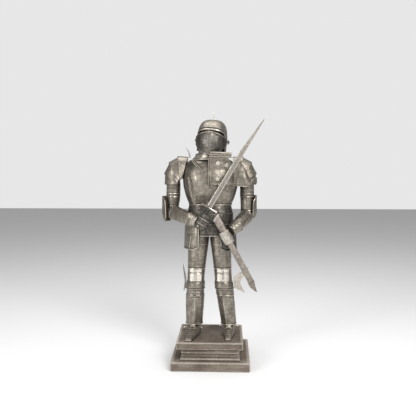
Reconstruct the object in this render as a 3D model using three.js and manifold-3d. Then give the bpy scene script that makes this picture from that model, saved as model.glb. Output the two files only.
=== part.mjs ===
// A decorative model of a jousting armour in thin sheet steel, on a two-step plinth.
// Millimetres, +Z up. The front faces -Y, and the figure's own right side is at -X.
// The origin is the middle of the plinth's flat underside.

import * as THREE from 'three';
import { mergeVertices } from 'three/addons/utils/BufferGeometryUtils.js';
import Module from 'manifold-3d';

const wasm = await Module();
wasm.setup();

// Driving dimensions

const gap = 0.4;
const sheet = 1.2;

const lowerSlab = { half: 94.5, height: 21, edge: 1.2 };
const middleBlock = { half: 68, depthHalf: 75, height: 27, foot: 3.2, footHeight: 4, grooveHeight: 15.5 };
const upperSlab = { half: 80, height: 16.5, edge: 1.2, offset: -1.5 };
const plinthTop = lowerSlab.height + middleBlock.height + upperSlab.height;
const figureOffset = -2.6;

// Heights above the plinth's top
const ankleHeight = 24;
const greaveHeight = 100;
const capHeight = 115;
const kneeHeight = 137;
const poleynHeight = 166.5;
const hipHeight = 246;
const thighHeight = 276;

// Heights above the plinth's underside
const fauldBottom = 315.5;
const waist = 389;
const gorgetBottom = 497;
const pivotHeight = 546;

const legs = {
  right: {
    side: -1, ankle: [-40.5, 8], knee: [4.2, -8], hip: [11.9, -6], shin: 1.065, keelTurn: 2,
    toe: [-10.2, -80], toeLength: 80, instep: 17, bolts: [-24.4, 18.9], boltHeight: 13, wingTurn: 74,
  },
  left: {
    side: 1, ankle: [46.3, 8], knee: [-13.3, -8], hip: [-20.9, -6], shin: 0.97, keelTurn: -16,
    toe: [-1.3, -69], toeLength: 69, instep: 14.6, bolts: [21.8, -22.8], boltHeight: 19, wingTurn: 3,
  },
};

const torso = { centre: 0.5, squareness: 2.4 };
const skull = {
  halfWidth: 35.8, radius: 50.8, wall: 1.4, neck: 27, power: 3, yaw: -5, roll: 4.2, centre: [4.8, -5],
};
const visor = { halfWidth: 36.4, radius: 52.2, prow: 6.5, top: 21.5, chin: -35, brow: 27.5, power: 3.1 };
const pole = { x: 71, y: 2, z: 441, halfDepth: 34, fall: 0.75 };

const arms = {
  right: {
    side: -1, shoulder: [-91, 5, 466], armBottom: 381, armTaper: 4, elbow: [-89.9, -5, 370.2],
    wrist: [-44.3, -57.6, 357.7], cuffEnd: [-29.5, -63.5, 352.2],
    couter: [-93, 3], couterRadius: 25.2, couterFoot: 347, couterTop: 410,
  },
  left: {
    side: 1, shoulder: [90, 5, 466], armBottom: 370, armTaper: 0.6, elbow: [91, -0.5, 363.2],
    wrist: [63.6, -44, 339.6], cuffEnd: [51.5, -54, 330.5],
    couter: [90.5, 3], couterRadius: 22.8, couterFoot: 356, couterTop: 412.5,
  },
};
const shoeCurve = 0.6;
const armRadius = 17.2;
const elbowRadius = 17.3;

const sword = {
  guard: [-0.8, -72, 386.7], tip: [123.2, -60, 594.6], length: 243.5, half: 5.8, taperStart: 152,
};
const scabbard = {
  throat: [14.6, -62, 364.9], tip: [113.2, -51, 182.6], length: 177, throatHalf: 9.5, endHalf: 7.1, wall: 0.9,
};

// Materials

const steel = (color, roughness) => new THREE.MeshStandardMaterial({ color, roughness, metalness: 0.9 });
const plateSteel = () => steel(0x7f7668, 0.42);
const darkSteel = () => steel(0x4a463d, 0.5);
const brightSteel = () => steel(0xbdb2a0, 0.34);
const bladeSteel = () => steel(0x9a9084, 0.36);
const sheathMetal = () => steel(0x86786a, 0.5);
const plinthWood = () => new THREE.MeshStandardMaterial({ color: 0x857868, roughness: 0.7, metalness: 0 });

// Helpers

const radians = THREE.MathUtils.degToRad;
const lerp = THREE.MathUtils.lerp;
const signedPower = (value, power) => Math.sign(value) * Math.abs(value) ** power;

// Merges the shared corners, drops slivers and turns the faces outward.
function closed(geometry) {
  geometry.deleteAttribute('normal');
  geometry.deleteAttribute('uv');
  const merged = mergeVertices(geometry, 1e-3);
  const position = merged.attributes.position;
  const corner = [new THREE.Vector3(), new THREE.Vector3(), new THREE.Vector3()];
  const faces = [];
  let volume = 0;
  for (let i = 0; i < merged.index.count; i += 3) {
    const [a, b, c] = [0, 1, 2].map((k) => merged.index.getX(i + k));
    if (a === b || b === c || c === a) continue;
    faces.push([a, b, c]);
    [a, b, c].forEach((v, k) => corner[k].fromBufferAttribute(position, v));
    volume += corner[0].dot(corner[1].cross(corner[2]));
  }
  const outward = volume < 0 ? faces.map(([a, b, c]) => [a, c, b]) : faces;
  merged.setIndex(outward.flat());
  merged.computeVertexNormals();
  return merged;
}

function mesh(name, geometry, material) {
  const made = new THREE.Mesh(closed(geometry), material);
  made.name = name;
  return made;
}

function group(...children) {
  const made = new THREE.Group();
  made.add(...children);
  return made;
}

// Gives a value from a list of [height, value] pairs, with straight stretches between them.
function along(pairs, height) {
  const next = pairs.findIndex(([h]) => h >= height);
  if (next === 0) return pairs[0][1];
  if (next < 0) return pairs[pairs.length - 1][1];
  const [h0, v0] = pairs[next - 1];
  const [h1, v1] = pairs[next];
  return lerp(v0, v1, (height - h0) / (h1 - h0));
}

// A closed body through a row of sections. place(section, angle, reach) gives each corner: the angle
// is counted from the front towards +X, and reach is 1 on the wall and 0 in the middle of an end.
function loft(sides, sections, place) {
  const rows = sections.length - 1;
  const geometry = new THREE.CylinderGeometry(1, 1, rows, sides, rows);
  const position = geometry.attributes.position;
  for (let i = 0; i < position.count; i++) {
    const x = position.getX(i);
    const z = position.getZ(i);
    const step = Math.round((Math.atan2(x, z) / (2 * Math.PI)) * sides + sides) % sides;
    const section = sections[Math.round(position.getY(i) + rows / 2)];
    const point = place(section, (step / sides) * 2 * Math.PI, Math.round(Math.hypot(x, z)));
    position.setXYZ(i, point.x, point.y, point.z);
  }
  return geometry;
}

// A corner of an oval section: half width w, half depth f to the front and b to the back. A keel
// draws the front corner forward, and turn swings the section about its middle, in degrees.
function oval(section, angle, reach) {
  const { z, x = 0, y = 0, w, f, b = f, keel = 0, turn = 0, n = 2 } = section;
  const across = w * signedPower(Math.sin(angle), 2 / n);
  const cosine = Math.cos(angle);
  const ahead = (cosine > 0 ? f : b) * signedPower(cosine, 2 / n) + (angle === 0 ? keel : 0);
  const point = new THREE.Vector3(across * reach, -ahead * reach, 0);
  point.applyAxisAngle(new THREE.Vector3(0, 0, 1), radians(turn));
  return point.add(new THREE.Vector3(x, y, z));
}

const round = (z, radius, more = {}) => ({ z, w: radius, f: radius, ...more });

// A bent plate: surface(u, v) is its inner face, and relief(u, v) adds to its thickness outside.
function plate({ us, vs, thickness = sheet, surface, relief = () => 0, outward = 1 }) {
  const columns = us.length - 1;
  const rows = vs.length - 1;
  const geometry = new THREE.BoxGeometry(columns, rows, 1, columns, rows, 1);
  const position = geometry.attributes.position;
  const step = 1e-3;
  for (let i = 0; i < position.count; i++) {
    const u = us[Math.round(position.getX(i) + columns / 2)];
    const v = vs[Math.round(position.getY(i) + rows / 2)];
    const point = surface(u, v);
    if (position.getZ(i) > 0) {
      const alongU = surface(u + step, v).sub(surface(u - step, v));
      const alongV = surface(u, v + step).sub(surface(u, v - step));
      const normal = alongU.cross(alongV).normalize();
      point.addScaledVector(normal, outward * (thickness + relief(u, v)));
    }
    position.setXYZ(i, point.x, point.y, point.z);
  }
  return geometry;
}

// A body turned about Z. The profile is [radius, height] pairs that start and end on the axis.
function turned(profile, sides) {
  const points = profile.map(([radius, height]) => new THREE.Vector2(radius, height));
  return new THREE.LatheGeometry(points, sides).rotateX(Math.PI / 2);
}

// A closed band around Z: place(entry, angle) gives the corner of a profile entry at an angle.
function band(sides, profile, place) {
  const ring = [...profile, profile[0]];
  const points = ring.map((_, i) => new THREE.Vector2(1, i));
  const geometry = new THREE.LatheGeometry(points, sides);
  const position = geometry.attributes.position;
  for (let i = 0; i < position.count; i++) {
    const step = Math.floor(i / ring.length) % sides;
    const point = place(ring[i % ring.length], (step / sides) * 2 * Math.PI, 1);
    position.setXYZ(i, point.x, point.y, point.z);
  }
  return geometry;
}

// A flat outline of [x, z] pairs, extruded along Y about y = 0.
function flat(outline, thickness, bevel = 0) {
  const shape = new THREE.Shape(outline.map(([x, z]) => new THREE.Vector2(x, z)));
  const geometry = new THREE.ExtrudeGeometry(shape, {
    depth: thickness - 2 * bevel,
    bevelEnabled: bevel > 0,
    bevelThickness: bevel,
    bevelSize: bevel * 2,
    bevelOffset: -bevel * 2,
    bevelSegments: 1,
  });
  geometry.translate(0, 0, bevel - thickness / 2);
  return geometry.rotateX(Math.PI / 2);
}

function square(profile, depthRatio = 1) {
  const corners = profile.map(([half, height]) => [half * Math.SQRT2, height]);
  return turned(corners, 4).rotateZ(Math.PI / 4).scale(1, depthRatio, 1);
}

// Sets a group at one point with its Z axis towards another and its X axis level with the front.
function aim(made, from, to) {
  const start = new THREE.Vector3(...from);
  const z = new THREE.Vector3(...to).sub(start).normalize();
  const x = new THREE.Vector3(0, 1, 0).cross(z).normalize();
  const y = z.clone().cross(x);
  made.position.copy(start);
  made.quaternion.setFromRotationMatrix(new THREE.Matrix4().makeBasis(x, y, z));
  made.updateMatrix();
  return made;
}

const distance = (from, to) => new THREE.Vector3(...from).distanceTo(new THREE.Vector3(...to));

function toManifold(geometry) {
  const body = closed(geometry.clone());
  const vertProperties = new Float32Array(body.attributes.position.array);
  const triVerts = new Uint32Array(body.index.array);
  return new wasm.Manifold(new wasm.Mesh({ numProp: 3, vertProperties, triVerts }));
}

function fromManifold(body) {
  const made = body.getMesh();
  const geometry = new THREE.BufferGeometry();
  geometry.setAttribute('position', new THREE.BufferAttribute(made.vertProperties, 3));
  geometry.setIndex(new THREE.BufferAttribute(made.triVerts, 1));
  return geometry;
}

const cut = (body, ...tools) =>
  fromManifold(tools.reduce((left, tool) => left.subtract(toManifold(tool)), toManifold(body)));

const joined = (...bodies) =>
  fromManifold(bodies.map(toManifold).reduce((left, body) => left.add(body)));

// Plinth

function plinth() {
  const slab = ({ half, height, edge }) => square([
    [0, 0], [half - edge, 0], [half, edge], [half, height - edge], [half - edge, height], [0, height],
  ]);
  const lower = mesh('plinth_lower_slab', slab(lowerSlab), plinthWood());
  const { half, height, foot, footHeight, grooveHeight } = middleBlock;
  const block = square([
    [0, 0], [half + foot, 0], [half + foot, footHeight - 1], [half, footHeight + 1],
    [half, grooveHeight - 1], [half - 1.5, grooveHeight], [half, grooveHeight + 1],
    [half, height - gap], [0, height - gap],
  ], middleBlock.depthHalf / half);
  const middle = mesh('plinth_middle_block', block, plinthWood());
  middle.position.set(-0.6, 0, lowerSlab.height + gap / 2);
  const top = slab({ ...upperSlab, height: upperSlab.height - gap / 2 });
  const upper = mesh('plinth_upper_slab', top, plinthWood());
  upper.position.set(upperSlab.offset, 0, plinthTop - upperSlab.height + gap / 2);
  return group(lower, middle, upper);
}

// Legs, in a group that stands on the plinth at the ankle

function legCentre(leg, height) {
  const marks = [[29.5, [0, 0]], [135.5, leg.knee], [hipHeight, leg.hip]];
  const axis = (k) => along(marks.map(([h, place]) => [h, place[k]]), height);
  return { x: axis(0), y: axis(1) };
}

function legTube(leg, rows, girth = 1) {
  const sections = rows.map(({ w, ...row }) =>
    ({ ...row, ...legCentre(leg, row.z), w: w * girth, turn: row.keel ? leg.keelTurn : 0, n: 2.2 }));
  return loft(14, sections, oval);
}

function greave(leg) {
  return legTube(leg, [
    { z: ankleHeight, w: 20.4, f: 18, b: 15, keel: 4 },
    { z: ankleHeight + 5, w: 19.8, f: 17.5, b: 14.5, keel: 4.5 },
    { z: 48, w: 20.4, f: 19, b: 18.5, keel: 5 },
    { z: 74, w: 21.4, f: 20, b: 22, keel: 5 },
    { z: greaveHeight - gap, w: 21.9, f: 20.5, b: 19.5, keel: 4 },
  ], leg.shin);
}

function poleyn(leg) {
  return legTube(leg, [
    { z: greaveHeight, w: 22.2, f: 22, b: 19.5 },
    { z: capHeight - 1, w: 22.2, f: 22.6, b: 19.5 },
    { z: capHeight, w: 23.2, f: 25, b: 20 },
    { z: capHeight + 8, w: 23.6, f: 28, b: 20 },
    { z: kneeHeight - 6, w: 23.2, f: 27, b: 20 },
    { z: kneeHeight, w: 21.4, f: 23, b: 20 },
    { z: poleynHeight - gap, w: 21.7, f: 23, b: 20.5 },
  ]);
}

// The bright plate on the knee, with the cross that is scored into it.
function kneePlate(leg) {
  const height = poleynHeight - kneeHeight;
  const { x, y } = legCentre(leg, kneeHeight + height / 2);
  return plate({
    us: [-0.5, -0.25, -0.05, 0.05, 0.25, 0.5],
    vs: [0, 0.6, 0.7, 1],
    thickness: 1.6,
    surface: (u, v) => {
      const angle = u * 1.15;
      const z = kneeHeight + 0.8 + v * height;
      return new THREE.Vector3(x + 25 * Math.sin(angle), y - 25.2 * Math.cos(angle), z);
    },
    relief: (u, v) => (Math.abs(u) < 0.1 || Math.abs(v - 0.65) < 0.06 ? -0.8 : 0),
  });
}

// The cuisse: a plain thigh tube that runs up inside the fauld.
function cuisse(leg) {
  return legTube(leg, [
    { z: poleynHeight, w: 22, f: 22.5, b: 21 },
    { z: 186, w: 23, f: 24, b: 23 },
    { z: 212, w: 24.5, f: 26, b: 25.5 },
    { z: hipHeight, w: 26.2, f: 28, b: 28 },
    { z: thighHeight, w: 26.2, f: 28, b: 28 },
  ]);
}

// A shoe with a flat sole and stepped toe lames. Sections run from the heel to the toe.
function sabaton(leg) {
  const toe = leg.toeLength;
  const rows = [
    [-21, 0.55, 15], [-17, 0.82, 23], [2, 1, 23.2], [15, 1, 22.6], [toe * 0.36, 0.92, 17],
    [toe * 0.58, 0.78, 12.4], [toe * 0.59, 0.72, 11.4], [toe * 0.76, 0.62, 9.6],
    [toe * 0.77, 0.57, 8.6], [toe * 0.95, 0.51, 6.4], [toe, 0.44, 4.4],
  ];
  const place = ([ahead, width, height], angle, reach) => {
    const across = signedPower(Math.sin(angle), shoeCurve) * width * leg.instep * reach;
    const up = Math.max(0, signedPower(Math.cos(angle), shoeCurve)) * height;
    return new THREE.Vector3(across, -ahead, gap + (reach ? up : height * 0.4));
  };
  return loft(10, rows, place);
}

// A round-headed bolt on a shank, standing out sideways from the ankle.
function ankleBolt(shank) {
  const head = [[3, 0.2], [3.4, 2.2], [2.2, 4.2], [0, 4.6]].map(([r, z]) => [r, z + shank]);
  return turned([[0, 0], [1.6, 0], [1.6, shank], ...head], 6);
}

// A fishtail plate that stands out from the knee on one side.
function kneeWing(side) {
  const outline = [
    [0, 31], [14, 42], [24, 48], [38, 58.5], [33, 46], [25, 34], [17.5, 21], [16.5, 17.5],
    [22, 6], [30, -10], [19, -3], [7, 2], [2.4, 4],
  ];
  return flat(outline, sheet).scale(side, 1, 1);
}

function leg(which) {
  const parts = legs[which];
  const { side } = parts;
  const foot = group(mesh(`${which}_sabaton`, sabaton(parts), plateSteel()));
  parts.bolts.forEach((reach, i) => {
    const outward = Math.sign(reach);
    const cosine = (parts.boltHeight / 23.2) ** (1 / shoeCurve);
    const ankleSide = parts.instep * Math.sin(Math.acos(cosine)) ** shoeCurve + gap;
    const shank = Math.max(0.6, Math.abs(reach) - ankleSide - 2);
    const bolt = mesh(`${which}_ankle_bolt_${i ? 'inner' : 'outer'}`, ankleBolt(shank), brightSteel());
    bolt.rotation.y = outward * Math.PI / 2;
    bolt.position.set(outward * ankleSide, -3, parts.boltHeight);
    foot.add(bolt);
  });
  foot.rotation.z = Math.atan2(parts.toe[0], -parts.toe[1]);
  const wing = mesh(`${which}_knee_wing`, kneeWing(side), plateSteel());
  const wingHeight = capHeight - 4;
  const root = legCentre(parts, wingHeight + 20);
  wing.position.set(root.x + side * 24.4, root.y + 4, wingHeight);
  wing.rotation.z = side * radians(parts.wingTurn);
  const made = group(
    foot,
    mesh(`${which}_greave`, greave(parts), plateSteel()),
    mesh(`${which}_poleyn`, poleyn(parts), plateSteel()),
    mesh(`${which}_knee_plate`, kneePlate(parts), brightSteel()),
    wing,
    mesh(`${which}_cuisse`, cuisse(parts), plateSteel()),
  );
  made.position.set(...parts.ankle, plinthTop);
  return made;
}

// Hips and body

const hipWidth = [[280, 60], [345, 57.4], [370, 56], [waist, 52.4]];
const hipFront = [[280, 45], [317, 49], [345, 48], [370, 43], [waist, 37]];
const hipBack = [[280, 42], [317, 44], [345, 42], [370, 38], [waist, 33]];

function hipPoint(z, angle, proud) {
  const section = {
    z,
    x: torso.centre - 0.8,
    w: along(hipWidth, z) + proud,
    f: along(hipFront, z) + proud,
    b: along(hipBack, z) + proud,
    n: 2.3,
  };
  return oval(section, angle, 1);
}

// The fauld: a hollow skirt of three lames, each a little wider than the one above.
function fauld() {
  const lames = [waist - gap, 370, 369, 345, 344, fauldBottom + 2, fauldBottom];
  const proud = [0, 0.2, 1.3, 0.6, 1.8, 1.2, 1.8];
  const outside = lames.map((z, i) => ({ z, proud: proud[i] }));
  const inside = [{ z: fauldBottom, proud: -1.2 }, { z: 345, proud: -1.2 }, { z: waist - gap, proud: -1.4 }];
  return band(18, [...outside, ...inside], ({ z, proud: p }, angle) => hipPoint(z, angle, p));
}

// A tasset wraps the front and the outer side of the thigh. Its flute runs down from the inner edge.
function tasset(side, bottom, proud) {
  const top = 341;
  return plate({
    us: [0, 0.06, 0.2, 0.34, 0.42, 0.7, 1],
    vs: [0, 0.05, 0.4, 1],
    surface: (u, v) => {
      const angle = radians(lerp(21, 96, u));
      const low = bottom + 8 * Math.max(0, 1 - u * 5) + 3 * u;
      return hipPoint(lerp(low, top, v), side * angle, proud);
    },
    relief: (u, v) => (v < 0.02 || u < 0.02 ? 1.2 : 0) + (Math.abs(u - 0.34) < 0.05 && v < 0.5 ? 1.2 : 0),
    outward: side,
  });
}

const chest = [
  { z: waist, w: 52.6, f: 37, b: 33 },
  { z: 393, w: 53.4, f: 38.5, b: 34 },
  { z: 404, w: 58, f: 43, b: 37 },
  { z: 420, w: 63, f: 49, b: 40 },
  { z: 438, w: 66.8, f: 53, b: 42 },
  { z: 456, w: 67.6, f: 54.5, b: 43 },
  { z: 476, w: 65, f: 51.5, b: 42 },
  { z: 491, w: 59, f: 45, b: 38 },
  { z: gorgetBottom + 2, w: 50, f: 38, b: 34 },
];

// How far forward the breast stands at a place, as a negative Y.
function breastFront(x, z) {
  const half = along(chest.map((row) => [row.z, row.w]), z);
  const depth = along(chest.map((row) => [row.z, row.f]), z);
  const share = Math.min(1, Math.abs(x - torso.centre) / half);
  return -depth * (1 - share ** torso.squareness) ** (1 / torso.squareness);
}

// The rolled edge that crosses the right breast, from the shoulder down to the middle.
function breastEdge() {
  return plate({
    us: [0, 1],
    vs: [0, 0.25, 0.5, 0.75, 1],
    thickness: 2.6,
    surface: (u, v) => {
      const x = lerp(-42, -21, v) + (u - 0.5) * 2.4;
      const z = lerp(497, 476, v) + (u - 0.5) * 2.4;
      return new THREE.Vector3(x, breastFront(x, z) + 1.2, z);
    },
  });
}

function cuirass() {
  const sections = chest.map((row) => ({ ...row, x: torso.centre, n: torso.squareness }));
  return joined(loft(20, sections, oval), breastEdge());
}

// The gorget: a collar that spreads over the shoulders and rises inside the helmet.
function gorget() {
  const row = (z, w, f, b) => ({ z, w, f, b, x: z < 505 ? torso.centre : 2.5, y: -2, n: 2.2 });
  return loft(14, [
    row(gorgetBottom + 2 + gap, 45, 42, 34),
    row(502, 43.5, 42, 34),
    row(509, 39.6, 41, 33),
    row(514.6, 36.6, 39.5, 32.5),
    row(515.6, 31.5, 37, 30),
    row(524, 31, 36, 30),
  ], oval);
}

// Helmet, in a group whose origin lies on the visor's hinge

// A corner of the skull: it is round about the hinge above, and narrows to the neck below.
function skullPoint({ z, inset = 0 }, angle, reach) {
  const halfWidth = skull.halfWidth - inset;
  const radius = skull.radius - inset;
  const up = Math.min(Math.max(z, 0) / radius, 1);
  const widest = halfWidth * (1 - up ** skull.power) ** (1 / skull.power);
  const x = widest * Math.sin(angle);
  const share = Math.min(1, Math.abs(x) / halfWidth);
  const ring = radius * (1 - share ** skull.power) ** (1 / skull.power);
  const deep = Math.sqrt(Math.max(0, ring ** 2 - Math.max(z, 0) ** 2));
  const below = Math.max(0, -z) / skull.neck;
  const y = -Math.sign(Math.cos(angle)) * deep * (1 - 0.2 * below) * (Math.abs(Math.cos(angle)) > 1e-6);
  return new THREE.Vector3(x * (1 - 0.03 * below) * reach, y * reach, z);
}

function helmetSkull() {
  const heights = [-skull.neck, 0, 15, 28, 38, 45, 49.4, skull.radius];
  const outer = loft(16, heights.map((z) => ({ z })), skullPoint);
  const inset = skull.wall;
  const inside = [-skull.neck - 1, 0, 18, 32, 42, 47.5, skull.radius - inset];
  const hollow = loft(16, inside.map((z) => ({ z, inset })), skullPoint);
  const rise = Math.tan(radians(visor.brow));
  const face = new THREE.Shape([[22, -16], [22, 22 * rise], [90, 90 * rise], [90, -16]]
    .map(([ahead, up]) => new THREE.Vector2(-ahead, up)));
  const opening = new THREE.ExtrudeGeometry(face, { depth: 120, bevelEnabled: false });
  opening.translate(0, 0, -60).rotateX(Math.PI / 2).rotateZ(Math.PI / 2);
  return cut(outer, hollow, opening);
}

// The visor turns about the same line as the skull, and its prow stands forward of it.
function visorShell() {
  const steps = [-88.5, -80, -66, -48, -30, -14, -5, 5, 14, 30, 48, 66, 80, 88.5];
  return plate({
    us: steps,
    vs: [0, 0.08, 0.35, 0.62, 0.86, 1],
    surface: (u, v) => {
      const turn = radians(u);
      const x = visor.halfWidth * signedPower(Math.sin(turn), 2 / visor.power);
      const ring = visor.radius * Math.abs(Math.cos(turn)) ** (2 / visor.power);
      const side = Math.min(1, Math.abs(u) / 60);
      const prow = visor.prow * Math.max(0, 1 - side * 1.25) * Math.min(1, 1.25 - v);
      const low = lerp(visor.chin, visor.chin + 9, side);
      const high = lerp(visor.top, visor.top - 8, side);
      const angle = radians(lerp(low, high, v));
      const reach = ring + prow;
      return new THREE.Vector3(x, -reach * Math.cos(angle), reach * Math.sin(angle));
    },
    relief: (u, v) => (v > 0.9 ? 0.8 : 0),
  });
}

// A pivot bolt: a broad washer under a small domed head.
function pivotBolt() {
  return turned([[0, 0], [6.2, 0], [6.2, 1.4], [5.4, 2], [2.8, 2.2], [2.4, 3.6], [0, 4.2]], 10);
}

// The thin wire that stands on the crown, thicker at its tip.
function finial() {
  const rows = [[0, 0, 1.6], [2, 0.2, 0.9], [9, 0.8, 0.8], [13, 0, 0.9], [17, -1.8, 1.5], [20, -2.8, 1]];
  return loft(6, rows.map(([z, x, r]) => round(z, r, { x })), oval);
}

function helmet() {
  const sides = [['right', -1], ['left', 1]];
  const bolts = sides.map(([which, side]) => {
    const bolt = mesh(`visor_pivot_${which}`, pivotBolt(), darkSteel());
    bolt.rotation.y = side * Math.PI / 2;
    bolt.position.x = side * (visor.halfWidth + sheet + 1);
    bolt.position.z = -1;
    return bolt;
  });
  const wire = mesh('helmet_finial', finial(), brightSteel());
  wire.position.set(0, 0, skull.radius + gap);
  wire.rotation.y = -radians(skull.roll);
  const made = group(
    mesh('helmet_skull', helmetSkull(), plateSteel()),
    mesh('visor', visorShell(), darkSteel()),
    ...bolts,
    wire,
  );
  made.position.set(...skull.centre, pivotHeight);
  made.rotation.set(0, radians(skull.roll), radians(skull.yaw), 'ZYX');
  return made;
}

// Grandguard on the left breast

const guardLeft = -2.5;
const guardRight = [[438, 55.4], [465, 55.4], [487, 51], [504, 45]];

function guardFront(x, z) {
  const resting = breastFront(x, z) - 2.8;
  const standing = -60 + 0.0016 * Math.max(0, x) ** 2;
  return Math.min(resting, lerp(resting, standing, THREE.MathUtils.smoothstep(z, 472, 500)));
}

function grandguard() {
  const [bottom, top] = [440, 503];
  const width = 59;
  const ridge = (u, v) => (u < 0.13 && u > 0.06) || (v < 0.055 && v > 0.005 && u > 0.06);
  return plate({
    us: [0, 0.035, 0.055, 0.075, 0.125, 0.14, 0.4, 0.6, 0.8, 1],
    vs: [0, 0.01, 0.05, 0.065, 0.38, 0.7, 1],
    surface: (u, v) => {
      const z = lerp(bottom, top, v);
      const right = along(guardRight, z);
      const x = u < 0.2 ? guardLeft + u * width : lerp(guardLeft + 0.2 * width, right, (u - 0.2) / 0.8);
      return new THREE.Vector3(x, guardFront(x, z), z);
    },
    relief: (u, v) => (ridge(u, v) || u < 0.04 ? 1.5 : 0),
  });
}

// The stand-up collar above it: three level ridges.
function guardCollar() {
  const slope = (x) => -0.065 * Math.max(0, x);
  return plate({
    us: [0, 0.35, 0.7, 1],
    vs: [0, 0.08, 0.24, 0.34, 0.42, 0.56, 0.66, 0.76, 0.9, 1],
    surface: (u, v) => {
      const x = lerp(lerp(-1.5, 1.5, v), 52, u);
      const z = 503.6 + v * (16 + slope(x));
      return new THREE.Vector3(x, -61 + 0.0016 * Math.max(0, x) ** 2, z);
    },
    relief: (u, v) => ([0.16, 0.49, 0.83].some((mark) => Math.abs(v - mark) < 0.09) ? 1.5 : 0),
  });
}

// A washer with the domed end of its bolt.
function washer() {
  return turned([[0, 0], [5, 0], [5, 1], [2.1, 1.2], [1.9, 2.4], [0, 2.8]], 8);
}

function grandguardParts() {
  const places = [[19.9, 491], [19, 454.4], [40, 486.5]];
  const washers = places.map(([x, z], i) => {
    const made = mesh(`grandguard_washer_${i + 1}`, washer(), brightSteel());
    const slope = (guardFront(x + 2, z) - guardFront(x - 2, z)) / 4;
    const lean = (guardFront(x, z + 2) - guardFront(x, z - 2)) / 4;
    made.position.set(x, guardFront(x, z) - sheet - 1.2, z);
    made.lookAt(new THREE.Vector3(x + slope * 10, made.position.y - 10, z + lean * 10));
    return made;
  });
  return group(
    mesh('grandguard', grandguard(), plateSteel()),
    mesh('grandguard_collar', guardCollar(), plateSteel()),
    ...washers,
  );
}

// Pauldrons: lames that meet at the armpit, front and back, as the ribs of a fan do

// The fan's rim from the bottom to the neck side: [outward, up] from the pole.
const rim = [[42.3, -2], [43.5, 26], [31.3, 53.5], [8.1, 68.6], [-17.1, 68.6]];
const rimAngle = rim.map(([out, up]) => Math.atan2(up, out));

// The rim's reach at an angle, on the straight line between two of its points.
function rimReach(angle) {
  const next = Math.min(Math.max(1, rimAngle.findIndex((a) => a >= angle - 1e-9)), rim.length - 1);
  const [x0, y0] = rim[next - 1];
  const [x1, y1] = rim[next];
  return (x0 * y1 - x1 * y0) / ((y1 - y0) * Math.cos(angle) - (x1 - x0) * Math.sin(angle));
}

// Each lame sinks by a step towards its upper end, where the next one covers it.
function lame(side, index) {
  const from = rimAngle[index] - (index ? 0.03 : 0);
  const to = rimAngle[index + 1];
  const tilt = radians(85);
  return plate({
    us: [-1, -0.75, -0.4, 0, 0.4, 0.75, 1],
    vs: [0, 0.72, 0.8, 0.88, 1],
    surface: (u, v) => {
      const angle = lerp(from, to, v);
      const tip = u * tilt;
      const inner = sheet + 2.5 * v;
      const rimHere = rimReach(Math.min(Math.max(angle, rimAngle[0]), rimAngle[4]));
      const reach = 1 + (rimHere - inner) * Math.cos(tip) ** pole.fall;
      const x = pole.x + reach * Math.cos(angle);
      const y = pole.y + (pole.halfDepth - inner) * Math.sin(tip);
      return new THREE.Vector3(side * x, y, pole.z + reach * Math.sin(angle));
    },
    relief: (u, v) => (v > 0.75 && v < 0.85 ? 1.3 : 0),
    outward: -side,
  });
}

// How far forward the lames stand at a place on the left shoulder.
function shoulderFront(x, z) {
  const angle = Math.min(Math.max(Math.atan2(z - pole.z, x - pole.x), rimAngle[0]), rimAngle[4]);
  const share = Math.min(1, Math.hypot(x - pole.x, z - pole.z) / rimReach(angle));
  return pole.y - pole.halfDepth * Math.sqrt(1 - share ** (2 / pole.fall));
}

// The big front plate of the left shoulder, cut away above where the lames show.
function shoulderPlate() {
  const bulge = new THREE.CatmullRomCurve3([
    [58, -41], [70, -47], [84, -48.5], [97, -44], [107, -33], [113, -14],
  ].map(([x, y]) => new THREE.Vector3(x, y, 0)));
  const topEdge = [
    [57, 484], [67, 489], [79, 489], [86, 475], [91, 461], [98, 451.5], [108, 457], [114, 457],
  ];
  const bottomEdge = [[57, 437], [84, 436], [98, 439], [114, 443]];
  return plate({
    us: [0, 0.15, 0.3, 0.42, 0.52, 0.62, 0.72, 0.84, 1],
    vs: [0, 0.06, 0.35, 0.7, 1],
    surface: (u, v) => {
      const place = bulge.getPoint(Math.min(Math.max(u, 0), 1));
      const z = lerp(along(bottomEdge, place.x), along(topEdge, place.x), v);
      const forward = place.y + 3 * (1 - v) ** 3;
      const onLames = Math.min(shoulderFront(place.x, z) - 3.4, forward + 12);
      const settle = v ** 2 * THREE.MathUtils.smoothstep(place.x, 66, 80) * 0.8;
      return new THREE.Vector3(place.x, lerp(forward, onLames, settle), z);
    },
    relief: (u, v) => (v < 0.03 ? 1.2 : 0),
  });
}

// A thin upright blade at the neck side of the right shoulder.
function shoulderSpike() {
  const outline = [[1.6, 0], [0.4, 9], [-4.5, 19], [-11.8, 27.5], [-6.4, 18], [-3, 9], [-2.6, 0]];
  return flat(outline, 1.2);
}

function shoulders() {
  const lames = [['right', -1], ['left', 1]].flatMap(([which, side]) =>
    [0, 1, 2, 3].map((i) => mesh(`${which}_pauldron_lame_${i + 1}`, lame(side, i), plateSteel())));
  const spike = mesh('right_shoulder_spike', shoulderSpike(), brightSteel());
  spike.position.set(-49, -12, 504.5);
  return group(...lames, mesh('left_pauldron_plate', shoulderPlate(), plateSteel()), spike);
}

// Arms

function vambrace(length, grow = 0) {
  const r = elbowRadius + grow;
  const end = length - gap + grow * 2;
  return loft(14, [
    round(-r * 0.92, r * 0.42), round(-r * 0.68, r * 0.75), round(-r * 0.3, r * 0.96), round(3, r),
    round(4, r + 0.8), round(7, r + 0.8), round(8, r), round(length * 0.6, r - 1.4), round(end, r - 4.8),
  ], oval);
}

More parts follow.
